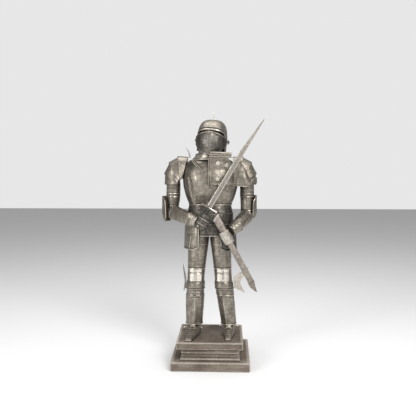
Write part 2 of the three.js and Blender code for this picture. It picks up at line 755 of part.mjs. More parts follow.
// The rerebrace, with a raised band. Its foot narrows by its own taper.
function rerebrace({ shoulder, armBottom, armTaper }) {
  const [x, y, top] = shoulder;
  const r = armRadius;
  const at = (z, radius) => round(z, radius, { x: x + Math.sign(x) * 0.018 * (top - z), y });
  const rows = [
    at(armBottom, r - armTaper), at(402, r - 0.6), at(412.5, r), at(414, r + 0.9), at(419, r + 0.9),
    at(420.5, r), at(437, r), at(top, r - 6),
  ];
  return loft(14, rows, oval);
}

// The couter and its wing: a plate that wraps the outside of the elbow and opens below.
function couter({ side, couter: centre, couterRadius, couterFoot, couterTop }) {
  const heights = [[0, couterFoot], [0.12, couterFoot + 5], [0.45, 374], [0.8, 398], [1, couterTop]];
  const widening = [[0, 0.79], [0.12, 0.9], [0.45, 1], [0.8, 1.01], [1, 1.02]];
  const front = [[0, 10], [0.12, 40], [0.3, 54], [0.6, 54], [0.8, 50], [1, 22]];
  return plate({
    us: [0, 0.17, 0.34, 0.5, 0.67, 0.84, 1],
    vs: [0, 0.12, 0.3, 0.6, 0.8, 1],
    surface: (u, v) => {
      const angle = radians(lerp(-68, along(front, v), u));
      const r = couterRadius * along(widening, v);
      const x = centre[0] + side * r * Math.cos(angle);
      return new THREE.Vector3(x, centre[1] - r * Math.sin(angle), along(heights, v));
    },
    relief: (u, v) => (v > 0.95 || u > 0.95 ? 0.8 : 0),
    outward: -side,
  });
}

// The gauntlet's cuff: flared where it sits over the forearm, with a raised band at the hand.
function gauntletCuff(length) {
  return loft(12, [
    round(-6, 16.8), round(-3, 17), round(0, 15.6), round(length * 0.5, 13.2), round(length * 0.55, 13.8),
    round(length, 11.4),
  ], oval);
}

function arm(which) {
  const parts = arms[which];
  const forearm = aim(new THREE.Group(), parts.elbow, parts.wrist);
  const length = distance(parts.elbow, parts.wrist);
  forearm.add(mesh(`${which}_vambrace`, vambrace(length), plateSteel()));
  const clearance = vambrace(length, gap).applyMatrix4(forearm.matrix);
  const wrist = aim(new THREE.Group(), parts.wrist, parts.cuffEnd);
  const cuff = gauntletCuff(distance(parts.wrist, parts.cuffEnd)).applyMatrix4(wrist.matrix);
  return group(
    mesh(`${which}_rerebrace`, cut(rerebrace(parts), clearance), plateSteel()),
    mesh(`${which}_couter`, couter(parts), plateSteel()),
    mesh(`${which}_gauntlet_cuff`, cut(cuff, clearance), plateSteel()),
    forearm,
  );
}

// A hand's mitten: a plate curled round Z, open on one side, with two knuckle ridges.
function mitten(halfWidth, halfDepth, length, open) {
  return plate({
    us: [0, 0.16, 0.33, 0.5, 0.67, 0.84, 1],
    vs: [0, 0.3, 0.36, 0.64, 0.7, 1],
    thickness: 1.6,
    surface: (u, v) => {
      const angle = radians(open + lerp(-125, 125, u));
      const full = 1 - 0.14 * (2 * v - 1) ** 2;
      const x = halfWidth * Math.sin(angle) * full;
      return new THREE.Vector3(x, -halfDepth * Math.cos(angle) * full, v * length);
    },
    relief: (u, v) => (Math.abs(v - 0.33) < 0.05 || Math.abs(v - 0.67) < 0.05 ? 1 : 0),
  });
}

// Sword and scabbard, each in a group with its Z axis along the blade

// The blade keeps its width to the point on one edge, and tapers on the other.
function swordBlade() {
  const { half, length, taperStart } = sword;
  const corners = [[-1, 0, -1], [1, 0, -1], [1, 1, 0], [1, 0, 1], [-1, 0, 1], [-1, 1, 0]];
  const sections = [[3, -half], [taperStart, -half], [length - 9, half - 3.2], [length, half - 1.6]];
  return loft(6, sections, ([z, left], angle, reach) => {
    const [side, edge, face] = corners[Math.round(angle / (Math.PI / 3))];
    const bevel = Math.min(1.8, (half - left) * 0.3);
    const x = side > 0 ? half - (edge ? 0 : bevel) : left + (edge ? 0 : bevel);
    const middle = (half + left) / 2;
    return new THREE.Vector3(lerp(middle, x, reach), face * 1.2 * reach, z);
  });
}

function crossGuard() {
  return turned([[0, -20], [2.4, -19], [1.7, -15], [2, 0], [1.7, 17], [2.6, 21], [0, 22.5]], 8);
}

function swordParts() {
  const blade = mesh('sword_blade', swordBlade(), bladeSteel());
  const guard = mesh('sword_guard', crossGuard(), brightSteel());
  guard.rotation.y = Math.PI / 2;
  const handle = turned([[0, -50], [4.4, -50], [5, -30], [5.4, -3], [0, -3]], 10);
  const grip = mesh('sword_grip', handle, darkSteel());
  const hand = mesh('right_gauntlet_hand', mitten(12, 12, 38, 48), darkSteel());
  hand.position.set(5, 0, -55);
  return aim(group(blade, guard, grip, hand), sword.guard, sword.tip);
}

// The scabbard: a flattened sheath, hollow from its throat down. The throat is cut aslant.
function sheath() {
  const { length, throatHalf, endHalf, wall } = scabbard;
  const half = (z) => lerp(throatHalf, endHalf, Math.min(1, z / 80));
  const lip = half(0) + 0.6;
  const outer = [[0, length], [half(length), length], [half(80), 80], [lip, 5], [lip, 0]];
  const floor = length - 2;
  const inner = [[half(0) - wall, 0], [half(80) - wall, 80], [half(length) - wall, floor], [0, floor]];
  const geometry = turned([...outer, ...inner], 14).scale(1, 0.46, 1);
  const position = geometry.attributes.position;
  for (let i = 0; i < position.count; i++) {
    if (position.getZ(i) < 20) position.setZ(i, position.getZ(i) + position.getX(i) * 0.42);
  }
  return geometry;
}

function chape() {
  const outline = [[-8.4, 0], [8.6, 0], [8.4, 12], [3.4, 24], [-1, 31], [-3.6, 18]];
  return flat(outline, 5, 1).translate(0, 0, scabbard.length + gap);
}

function scabbardParts() {
  const body = mesh('scabbard', sheath(), sheathMetal());
  const tip = mesh('scabbard_chape', chape(), plateSteel());
  const hand = mesh('left_gauntlet_hand', mitten(11.4, 9, 32, -40), brightSteel());
  hand.position.z = 40;
  return aim(group(body, tip, hand), scabbard.throat, scabbard.tip);
}

// The guard chain: links turned a quarter in turn, fused where they touch.
function chain() {
  const path = new THREE.CatmullRomCurve3([
    [-50.6, -46, 458], [-48.5, -50, 445], [-47, -50.5, 432], [-43.5, -50, 416], [-40, -47.5, 403],
    [-33, -50, 391], [-27, -57, 385], [-22.5, -66, 385.5],
  ].map((point) => new THREE.Vector3(...point)));
  const links = 12;
  const made = [];
  for (let i = 0; i < links; i++) {
    const share = (i + 0.5) / links;
    const link = new THREE.TorusGeometry(2.3, 0.85, 3, 6).scale(1.65, 1, 1);
    link.rotateX((i % 2) * Math.PI / 2 + 0.5);
    const tangent = path.getTangentAt(share);
    const turn = new THREE.Quaternion().setFromUnitVectors(new THREE.Vector3(1, 0, 0), tangent);
    link.applyQuaternion(turn).translate(...path.getPointAt(share).toArray());
    made.push(link);
  }
  return joined(...made);
}

// Assembly

const figure = group(
  leg('right'),
  leg('left'),
  mesh('fauld', fauld(), darkSteel()),
  mesh('right_tasset', tasset(-1, 281, 3.1), plateSteel()),
  mesh('left_tasset', tasset(1, 278, 4.6), darkSteel()),
  mesh('cuirass', cuirass(), plateSteel()),
  mesh('gorget', gorget(), plateSteel()),
  helmet(),
  grandguardParts(),
  shoulders(),
  arm('right'),
  arm('left'),
  swordParts(),
  scabbardParts(),
  mesh('guard_chain', chain(), plateSteel()),
);
figure.position.x = figureOffset;

export default group(plinth(), figure);
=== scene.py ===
import bpy
import numpy as np
from math import radians, pi
from mathutils import Euler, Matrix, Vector


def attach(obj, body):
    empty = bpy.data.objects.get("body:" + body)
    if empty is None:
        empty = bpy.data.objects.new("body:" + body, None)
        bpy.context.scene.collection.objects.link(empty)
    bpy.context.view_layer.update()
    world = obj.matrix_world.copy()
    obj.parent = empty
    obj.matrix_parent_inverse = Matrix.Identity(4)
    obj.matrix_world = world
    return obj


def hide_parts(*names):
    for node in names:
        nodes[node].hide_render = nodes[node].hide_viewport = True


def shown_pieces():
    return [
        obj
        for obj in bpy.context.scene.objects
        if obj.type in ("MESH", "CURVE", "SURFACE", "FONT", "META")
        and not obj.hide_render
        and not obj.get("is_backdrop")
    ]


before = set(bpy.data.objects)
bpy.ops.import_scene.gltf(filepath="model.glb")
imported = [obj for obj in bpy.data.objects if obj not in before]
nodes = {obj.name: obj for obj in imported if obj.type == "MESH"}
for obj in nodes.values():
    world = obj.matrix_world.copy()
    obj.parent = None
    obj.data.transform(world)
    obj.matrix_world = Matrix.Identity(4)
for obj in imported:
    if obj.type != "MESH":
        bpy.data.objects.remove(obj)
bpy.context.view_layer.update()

# All sizes are in millimetres in the figure's own frame and become metres in makePiece.
figureX = -2.6
plinthTop = 64.5
gap = 0.4
sheet = 1.2

# The share of the full count of rows and columns that every grid gets. It keeps the whole
# figure under a million triangles.
fineness = 0.74

# ---- small tools for curves


def along(pairs, t):
    xs, ys = zip(*pairs)
    return np.interp(t, xs, ys)


# A smooth curve through [place, value] pairs that never swings past them.
def flowing(pairs, t):
    xs, ys = (np.array(a, float) for a in zip(*pairs))
    steps = np.diff(xs)
    slopes = np.diff(ys) / steps
    bends = np.zeros_like(ys)
    same = slopes[1:] * slopes[:-1] > 0
    safe = np.where(same, 1, 0)
    w1, w2 = 2 * steps[1:] + steps[:-1], steps[1:] + 2 * steps[:-1]
    before = np.where(same, slopes[:-1], 1)
    after = np.where(same, slopes[1:], 1)
    bends[1:-1] = safe * (w1 + w2) / (w1 / before + w2 / after)
    bends[0], bends[-1] = slopes[0], slopes[-1]
    t = np.clip(t, xs[0], xs[-1])
    i = np.clip(np.searchsorted(xs, t, "right") - 1, 0, len(xs) - 2)
    h, s = steps[i], (t - xs[i]) / steps[i]
    return (ys[i] * (1 + 2 * s) * (1 - s) ** 2 + ys[i + 1] * s * s * (3 - 2 * s)
            + h * s * (1 - s) * ((1 - s) * bends[i] - s * bends[i + 1]))


def ease(t, low, high):
    s = np.clip((t - low) / (high - low), 0, 1)
    return s * s * (3 - 2 * s)


# 1 at the middle, 0 from half a width away.
def swell(t, middle, half):
    s = np.clip(1 - np.abs(t - middle) / half, 0, 1)
    return s * s * (3 - 2 * s)


def lerp(a, b, t):
    return a + (b - a) * t


def evenly(start, end, count):
    return np.linspace(start, end, round(count * fineness))


def power(value, exponent):
    return np.sign(value) * np.abs(value) ** exponent


# Hand beating: a sum of waves about one pitch long, in directions drawn from a fixed seed.
def beaten(points, pitch, seed):
    rng = np.random.default_rng(seed)
    total = np.zeros(points.shape[:-1])
    for _ in range(7):
        way = rng.normal(size=3)
        way *= 2 * pi / (pitch * rng.uniform(0.7, 1.5) * np.linalg.norm(way))
        total += np.sin(points @ way + rng.uniform(0, 2 * pi))
    return total / 4


# ---- meshes


def gridFaces(rows, columns, wrap):
    i, j = np.meshgrid(np.arange(columns if wrap else columns - 1), np.arange(rows - 1))
    k = (i + 1) % columns
    a, b, c, d = j * columns + i, j * columns + k, (j + 1) * columns + k, (j + 1) * columns + i
    return np.stack([a, b, c, a, c, d], -1).reshape(-1, 3)


def rimFaces(loop, inside):
    n = np.roll(loop, -1), np.roll(inside, -1)
    return np.concatenate([np.stack([n[0], loop, inside], -1), np.stack([n[0], inside, n[1]], -1)])


def normalsOf(grid, wrap):
    across = np.roll(grid, -1, 1) - np.roll(grid, 1, 1) if wrap else np.gradient(grid, axis=1)
    normal = np.cross(across, np.gradient(grid, axis=0))
    return normal / (np.linalg.norm(normal, axis=-1, keepdims=True) + 1e-9)


# A closed body from two matching grids, joined all round their borders.
def shellMesh(outer, inner, wrap=False):
    rows, columns = outer.shape[:2]
    count = rows * columns
    index = np.arange(count).reshape(rows, columns)
    front = gridFaces(rows, columns, wrap)
    if wrap:
        loops = [index[0], index[-1, ::-1]]
    else:
        loops = [np.concatenate([index[0, :-1], index[:-1, -1], index[-1, :0:-1], index[:0:-1, 0]])]
    faces = [front, front[:, ::-1] + count] + [rimFaces(loop, loop + count) for loop in loops]
    return np.concatenate([outer.reshape(-1, 3), inner.reshape(-1, 3)]), np.concatenate(faces)


# A closed body from one grid that runs round, with a fan over each end.
def solidMesh(grid):
    rows, columns = grid.shape[:2]
    ends = np.stack([grid[0].mean(0), grid[-1].mean(0)])
    count = rows * columns
    ring = np.arange(columns)
    nextOne = np.roll(ring, -1)
    first = np.stack([nextOne, ring, np.full(columns, count)], -1)
    last = np.stack([ring, nextOne, np.full(columns, count + 1)], -1) + [count - columns, count - columns, 0]
    return np.concatenate([grid.reshape(-1, 3), ends]), np.concatenate([gridFaces(rows, columns, True), first, last])


def joinMeshes(parts):
    points, faces, start = [], [], 0
    for somePoints, someFaces in parts:
        points.append(somePoints)
        faces.append(someFaces + start)
        start += len(somePoints)
    return np.concatenate(points), np.concatenate(faces)


def makePiece(name, meshData, material, stands=(), body="root", wearAndSheen=None, grimeAndShade=None, sharp=38,
              shift=figureX):
    points, faces = meshData
    points = np.ascontiguousarray((points + [shift, 0, 0]) * 0.001, dtype=np.float32)
    corners = points[faces].astype(float)
    volume = np.einsum("ij,ij->i", corners[:, 0], np.cross(corners[:, 1], corners[:, 2])).sum()
    if volume < 0:
        faces = faces[:, ::-1]
    mesh = bpy.data.meshes.new(name)
    mesh.vertices.add(len(points))
    mesh.vertices.foreach_set("co", points.ravel())
    mesh.loops.add(faces.size)
    mesh.loops.foreach_set("vertex_index", np.ascontiguousarray(faces, dtype=np.int32).ravel())
    mesh.polygons.add(len(faces))
    mesh.polygons.foreach_set("loop_start", np.arange(0, faces.size, 3, dtype=np.int32))
    mesh.polygons.foreach_set("loop_total", np.full(len(faces), 3, dtype=np.int32))
    # Two masks per piece: wear (real wear and painted highlights) lightens the colour, grime (dirt and painted shade)
    # darkens it.
    for key, values in (("wearAndSheen", wearAndSheen), ("grimeAndShade", grimeAndShade)):
        data = np.zeros(len(points), np.float32)
        if values is not None:
            flat = np.clip(np.asarray(values, np.float32).ravel(), 0, 1)
            data[:len(flat)] = flat
        mesh.attributes.new(key, "FLOAT", "POINT").data.foreach_set("value", data)
    mesh.update(calc_edges=True)
    mesh.polygons.foreach_set("use_smooth", np.ones(len(faces), dtype=bool))
    mesh.set_sharp_from_angle(angle=radians(sharp))
    mesh.materials.append(material)
    piece = bpy.data.objects.new(name, mesh)
    bpy.context.scene.collection.objects.link(piece)
    if stands:
        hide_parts(*([stands] if isinstance(stands, str) else stands))
    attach(piece, body)
    return piece


# Corners of an oval section. The angle is counted from the front towards +X.
def ovalGrid(z, angle, w, f, b=None, x=0, y=0, keel=0, turn=0, squareness=2.0):
    b = f if b is None else b
    col = lambda a: np.broadcast_to(np.asarray(a, float), z.shape)[:, None]
    s, c = np.sin(angle)[None], np.cos(angle)[None]
    across = col(w) * power(s, 2 / squareness)
    ahead = np.where(c > 0, col(f), col(b)) * power(c, 2 / squareness)
    ahead = ahead + col(keel) * np.clip(1 - np.abs((angle + pi) % (2 * pi) - pi) / 0.5, 0, 1)[None] ** 1.4
    t = np.radians(col(turn))
    px = across * np.cos(t) + ahead * np.sin(t)
    py = across * np.sin(t) - ahead * np.cos(t)
    return np.stack([px + col(x), py + col(y), np.broadcast_to(z[:, None], px.shape)], -1)


def roundAngles(count):
    count = round(count * fineness)
    return np.arange(count) / count * 2 * pi


# A body turned about Z: [radius, height] pairs, followed in small steps.
def turnedGrid(profile, around=40, steps=4):
    profile = np.array(profile, float)
    t = np.linspace(0, len(profile) - 1, (len(profile) - 1) * steps + 1)
    r = np.maximum(np.interp(t, np.arange(len(profile)), profile[:, 0]), 1e-3)
    z = np.interp(t, np.arange(len(profile)), profile[:, 1])
    angle = roundAngles(around)[None]
    return np.stack([r[:, None] * np.sin(angle), -r[:, None] * np.cos(angle), z[:, None] + 0 * angle], -1)


# Turns Z towards another point, with X level with the front.
def aim(grid, start, end):
    start, end = np.array(start, float), np.array(end, float)
    z = (end - start) / np.linalg.norm(end - start)
    x = np.cross([0, 1, 0], z)
    x /= np.linalg.norm(x)
    return grid @ np.stack([x, np.cross(z, x), z]) + start


def facing(grid, place, normal):
    z = np.array(normal, float) / np.linalg.norm(normal)
    x = np.cross([0.1, 0.2, 1], z)
    x /= np.linalg.norm(x)
    return grid @ np.stack([x, np.cross(z, x), z]) + np.array(place, float)


def distance(a, b):
    return float(np.linalg.norm(np.array(b, float) - np.array(a, float)))


# A sheet of an even thickness with relief on its outer side. Returns both grids and the relief.
def platePoints(u, v, surface, relief=None, thickness=sheet, outward=1, dent=0.12, pitch=14, seed=1):
    uu, vv = np.meshgrid(u, v)
    inner = surface(uu, vv)
    step = 1e-3
    overU = surface(uu + step, vv) - surface(uu - step, vv)
    overV = surface(uu, vv + step) - surface(uu, vv - step)
    normal = np.cross(overU, overV)
    normal *= outward / (np.linalg.norm(normal, axis=-1, keepdims=True) + 1e-12)
    raised = relief(uu, vv) if relief else 0 * uu
    height = thickness + raised + dent * np.minimum(beaten(inner, pitch, seed), 0.4)
    return inner + normal * height[..., None], inner, raised


# Wear on the raised edges, and dirt with painted shade in the hollows beside them.
def wearOf(raised, amount=1.0):
    rise = raised / (np.abs(raised).max() + 1e-6)
    bend = -np.gradient(np.gradient(rise, axis=0), axis=0) - np.gradient(np.gradient(rise, axis=1), axis=1)
    return np.clip(rise * 0.7 + bend * 4, 0, 1) * amount, np.clip(-bend * 5 - rise * 0.8, 0, 1) * amount


# ---- materials


def ramp(tree, fac, stops):
    node = tree.nodes.new("ShaderNodeValToRGB")
    elements = node.color_ramp.elements
    while len(elements) < len(stops):
        elements.new(0.5)
    for element, (place, value) in zip(elements, stops):
        element.position = place
        element.color = (value, value, value, 1) if isinstance(value, (int, float)) else (*value, 1)
    tree.links.new(fac, node.inputs["Fac"])
    return node.outputs["Color"]


def noise(tree, vector, scale, detail=4, roughness=0.6, distortion=0.0, stretch=None):
    if stretch:
        mapping = tree.nodes.new("ShaderNodeMapping")
        mapping.inputs["Scale"].default_value = stretch
        tree.links.new(vector, mapping.inputs["Vector"])
        vector = mapping.outputs["Vector"]
    node = tree.nodes.new("ShaderNodeTexNoise")
    for key, value in (("Scale", scale), ("Detail", detail), ("Roughness", roughness), ("Distortion", distortion)):
        node.inputs[key].default_value = value
    tree.links.new(vector, node.inputs["Vector"])
    return node.outputs["Fac"]


def maths(tree, operation, a, b, clamp=False):
    node = tree.nodes.new("ShaderNodeMath")
    node.operation = operation
    node.use_clamp = clamp
    for socket, value in zip(node.inputs, (a, b)):
        if isinstance(value, (int, float)):
            socket.default_value = value
        else:
            tree.links.new(value, socket)
    return node.outputs[0]


def mixColours(tree, factor, a, b, blend="MIX"):
    node = tree.nodes.new("ShaderNodeMix")
    node.data_type = "RGBA"
    node.blend_type = blend
    for socket, value in ((node.inputs["Factor"], factor), (node.inputs[6], a), (node.inputs[7], b)):
        if isinstance(value, (int, float)):
            socket.default_value = value
        elif isinstance(value, tuple):
            socket.default_value = (*value, 1)
        else:
            tree.links.new(value, socket)
    return node.outputs[2]


def attribute(tree, name):
    node = tree.nodes.new("ShaderNodeAttribute")
    node.attribute_name = name
    return node.outputs["Fac"]


def newGroup(name, colours, values, outputs):
    group = bpy.data.node_groups.new(name, "ShaderNodeTree")
    for key in colours:
        group.interface.new_socket(key, in_out="INPUT", socket_type="NodeSocketColor")
    for key, value in values.items():
        group.interface.new_socket(key, in_out="INPUT", socket_type="NodeSocketFloat").default_value = value
    for key, kind in outputs.items():
        group.interface.new_socket(key, in_out="OUTPUT", socket_type=kind)
    return group, group.nodes.new("NodeGroupInput").outputs, group.nodes.new("NodeGroupOutput").inputs


# Antiqued sheet steel: clouds of dark patina, fine scratches down the sheet, pits, bright worn edges with painted
# highlights, and dirt with painted shade in the hollows.
def patinaGroup():
    group, given, made = newGroup(
        "antique_patina", ("Dark", "Body", "Bright"), {"Patina": 0.5, "Scratches": 0.5, "Shine": 0.4},
        {"Colour": "NodeSocketColor", "Roughness": "NodeSocketFloat", "Height": "NodeSocketFloat"})
    place = group.nodes.new("ShaderNodeTexCoord").outputs["Object"]
    clouds = noise(group, place, 42, 5, 0.62, 0.8)
    spots = noise(group, place, 165, 4, 0.7, 0.4)
    down = noise(group, place, 300, 3, 0.65, 0.2, (1, 1, 0.09))
    level = noise(group, place, 340, 3, 0.65, 0.3, (0.12, 0.12, 1))
    pits = noise(group, place, 1500, 2, 0.6)
    wornAndSheen, dirtAndShade = attribute(group, "wearAndSheen"), attribute(group, "grimeAndShade")
    cloudMask = ramp(group, clouds, [(0.36, 0.0), (0.63, 1.0)])
    spotMask = ramp(group, spots, [(0.42, 0.0), (0.62, 1.0)])
    lineMask = ramp(group, maths(group, "ADD", maths(group, "MULTIPLY", down, 0.55), maths(group, "MULTIPLY", level, 0.45)),
                    [(0.47, 0.0), (0.6, 1.0)])
    mottle = maths(group, "ADD", maths(group, "MULTIPLY", cloudMask, 0.6), maths(group, "MULTIPLY", spotMask, 0.4))
    darkness = maths(group, "MULTIPLY", maths(group, "SUBTRACT", 1.0, mottle), given["Patina"], True)
    colour = mixColours(group, darkness, given["Body"], given["Dark"])
    scratched = maths(group, "MULTIPLY", maths(group, "MULTIPLY", lineMask, mottle), given["Scratches"], True)
    colour = mixColours(group, scratched, colour, given["Bright"])
    # Worn edges and painted highlights from the wear attribute lighten the colour towards Bright.
    edge = maths(group, "MULTIPLY", wornAndSheen, maths(group, "ADD", maths(group, "MULTIPLY", spotMask, 0.45), 0.55), True)
    colour = mixColours(group, edge, colour, given["Bright"])
    # Dirt and painted shade from the grime attribute darken the colour, the second step almost to black.
    sootAndShade = maths(group, "MULTIPLY", dirtAndShade, maths(group, "ADD", maths(group, "MULTIPLY", spots, 0.5), 0.65), True)
    colour = mixColours(group, sootAndShade, colour, given["Dark"])
    colour = mixColours(group, sootAndShade, colour, mixColours(group, 0.55, colour, (0.012, 0.010, 0.008)))
    rough = maths(group, "ADD", given["Shine"], maths(group, "MULTIPLY", darkness, 0.32))
    rough = maths(group, "SUBTRACT", rough, maths(group, "MULTIPLY", maths(group, "MAXIMUM", edge, scratched), 0.12))
    rough = maths(group, "ADD", rough, maths(group, "MULTIPLY", sootAndShade, 0.3), True)
    height = maths(group, "ADD", maths(group, "MULTIPLY", spots, 0.5), maths(group, "MULTIPLY", pits, 0.22))
    height = maths(group, "ADD", height, maths(group, "MULTIPLY", lineMask, 0.28))
    for key, value in (("Colour", colour), ("Roughness", rough), ("Height", height)):
        group.links.new(value, made[key])
    return group


# Painted or stained board: long grain lines, broad tone changes, pale worn edges with painted edge highlights, dust
# with painted shade in the corners.
def boardGroup():
    group, given, made = newGroup(
        "aged_board", ("Dark", "Body", "Pale"), {"Grain": 0.6},
        {"Colour": "NodeSocketColor", "Roughness": "NodeSocketFloat", "Height": "NodeSocketFloat"})
    place = group.nodes.new("ShaderNodeTexCoord").outputs["Object"]
    broad = noise(group, place, 26, 4, 0.6, 0.5, (0.45, 0.45, 1))
    lines = noise(group, place, 170, 5, 0.66, 0.9, (0.14, 0.14, 1))
    fine = noise(group, place, 900, 3, 0.6, 0.0, (0.2, 0.2, 1))
    specks = noise(group, place, 420, 3, 0.7)
    wornAndSheen, dirtAndShade = attribute(group, "wearAndSheen"), attribute(group, "grimeAndShade")
    broadMask = ramp(group, broad, [(0.36, 0.0), (0.66, 1.0)])
    lineMask = ramp(group, lines, [(0.4, 0.0), (0.58, 1.0)])
    dark = maths(group, "MULTIPLY", maths(group, "SUBTRACT", 1.0, lineMask), given["Grain"], True)
    colour = mixColours(group, broadMask, given["Dark"], given["Body"])
    colour = mixColours(group, dark, colour, given["Dark"])
    colour = mixColours(group, ramp(group, specks, [(0.6, 0.0), (0.72, 0.5)]), colour, given["Pale"])
    # Worn edges and painted edge highlights from the wear attribute lighten the board towards Pale.
    edge = maths(group, "MULTIPLY", wornAndSheen, ramp(group, specks, [(0.34, 0.25), (0.56, 1.0)]), True)
    colour = mixColours(group, edge, colour, given["Pale"])
    # Dust and painted shade from the grime attribute darken the board.
    sootAndShade = maths(group, "MULTIPLY", dirtAndShade, 0.9, True)
    colour = mixColours(group, sootAndShade, colour, mixColours(group, 0.6, colour, (0.02, 0.015, 0.01)))
    rough = maths(group, "ADD", 0.5, maths(group, "MULTIPLY", dark, 0.2))
    height = maths(group, "ADD", maths(group, "MULTIPLY", lines, 0.6), maths(group, "MULTIPLY", fine, 0.3))
    for key, value in (("Colour", colour), ("Roughness", rough), ("Height", height)):
        group.links.new(value, made[key])
    return group


patina = patinaGroup()
board = boardGroup()


def buildMaterial(name, group, settings, metallic, bump, depth=0.0006):
    material = bpy.data.materials.new(name)
    material.use_nodes = True
    tree = material.node_tree
    shader = tree.nodes["Principled BSDF"]
    shader.inputs["Metallic"].default_value = metallic
    pattern = tree.nodes.new("ShaderNodeGroup")
    pattern.node_tree = group
    for key, value in settings.items():
        pattern.inputs[key].default_value = (*value, 1) if isinstance(value, tuple) else value
    relief = tree.nodes.new("ShaderNodeBump")
    relief.inputs["Strength"].default_value = bump
    relief.inputs["Distance"].default_value = depth
    tree.links.new(pattern.outputs["Height"], relief.inputs["Height"])
    tree.links.new(relief.outputs["Normal"], shader.inputs["Normal"])
    tree.links.new(pattern.outputs["Colour"], shader.inputs["Base Color"])
    tree.links.new(pattern.outputs["Roughness"], shader.inputs["Roughness"])
    return material


steelLooks = {
    "plate_steel_look": ((0.055, 0.048, 0.038), (0.30, 0.265, 0.22), (0.62, 0.57, 0.49), 0.62, 0.55, 0.34),
    "dark_steel_and_shade_look": ((0.022, 0.021, 0.018), (0.115, 0.105, 0.09), (0.42, 0.39, 0.34), 0.7, 0.45, 0.42),
    "bright_steel_and_sheen_look": ((0.16, 0.14, 0.115), (0.60, 0.55, 0.48), (0.86, 0.81, 0.72), 0.45, 0.7, 0.3),
    "blade_steel_look": ((0.12, 0.11, 0.095), (0.46, 0.42, 0.37), (0.8, 0.75, 0.68), 0.45, 0.7, 0.3),
    "scabbard_look": ((0.12, 0.10, 0.085), (0.38, 0.335, 0.29), (0.62, 0.57, 0.5), 0.6, 0.45, 0.46),
}
looks = {
    name: buildMaterial(name, patina, dict(zip(("Dark", "Body", "Bright", "Patina", "Scratches", "Shine"), values)), 0.92, 0.35)
    for name, values in steelLooks.items()
}
plateSteel, darkSteelAndShade, brightSteelAndSheen, bladeSteel, scabbardMetal = looks.values()
plinthWood = buildMaterial(
    "plinth_wood_look", board,
    {"Dark": (0.085, 0.062, 0.045), "Body": (0.235, 0.19, 0.15), "Pale": (0.55, 0.49, 0.42), "Grain": 0.6}, 0.0, 0.5, 0.0008)
print("materials ready")

# ---- plinth

plinthLook = {"around": 56, "cornerRadius": 1.6, "wave": 0.25}


# A square loop with rounded corners: n points a side, half across and half deep, at one height.
def squareLoops(profile, depthRatio, shiftX):
    n = plinthLook["around"]
    t = np.linspace(-1, 1, n, endpoint=False)
    t = power(t, 0.85)
    side = np.concatenate([np.stack([t, -np.ones(n)], -1), np.stack([np.ones(n), t], -1),
                           np.stack([-t, np.ones(n)], -1), np.stack([-np.ones(n), -t], -1)])
    reach = np.max(np.abs(side), axis=-1)
    corner = np.clip(np.min(np.abs(side), axis=-1), 0, 1)
    loops = []
    for half, z in profile:
        pull = plinthLook["cornerRadius"] * 0.42 * np.clip((corner - (1 - 2 / max(half, 4))) * max(half, 4) / 2, 0, 1) ** 2
        xy = side / reach[:, None] * (half - pull)[:, None]
        loops.append(np.column_stack([xy[:, 0] + shiftX, xy[:, 1] * depthRatio, np.full(len(xy), z)]))
    return np.stack(loops), corner


def buildSlab(name, node, profile, depthRatio=1, shiftX=0.0, wearAndSheenHeights=(), grimeAndShadeHeights=(), seed=3):
    profile = np.array(profile, float)
    loops, corner = squareLoops(profile, depthRatio, shiftX)
    wave = plinthLook["wave"] * np.minimum(beaten(loops, 30, seed), 0)
    middle = loops.mean(axis=(0, 1))
    inward = loops - middle
    inward[..., 2] = 0
    inward /= np.linalg.norm(inward, axis=-1, keepdims=True) + 1e-9
    loops = loops + inward * wave[..., None]
    z = loops[..., 2]
    chips = ease(beaten(loops, 9, seed + 5), 0.1, 0.9)
    wearAndSheen = sum((swell(z, h, 2.4) * (np.array(profile)[:, :1] > np.max(profile[:, 0]) * 0.93) for h in wearAndSheenHeights), 0 * z)
    wearAndSheen = np.clip(wearAndSheen * (0.65 + 0.35 * chips) + ease(corner, 0.965, 0.995)[None] * 0.7, 0, 1)
    grimeAndShade = sum((swell(z, h, 2.2) for h in grimeAndShadeHeights), 0 * z)
    return makePiece(name, solidMesh(loops), plinthWood, node, wearAndSheen=wearAndSheen, grimeAndShade=grimeAndShade, sharp=50, shift=0)


def slabProfile(half, bottom, top, edge):
    inner = np.linspace(0.02, 1, 9)[:-1] * (half - edge)
    lower = [(h, bottom) for h in inner] + [(half - edge, bottom), (half - 0.35 * edge, bottom + 0.35 * edge)]
    wall = [(half, z) for z in np.linspace(bottom + edge, top - edge, 12)]
    upper = [(half - 0.3 * edge, top - 0.3 * edge), (half - edge, top)]
    flat = [(h, top) for h in np.linspace(1, 0.02, 26)[1:] * (half - edge)]
    return lower + wall + upper + flat


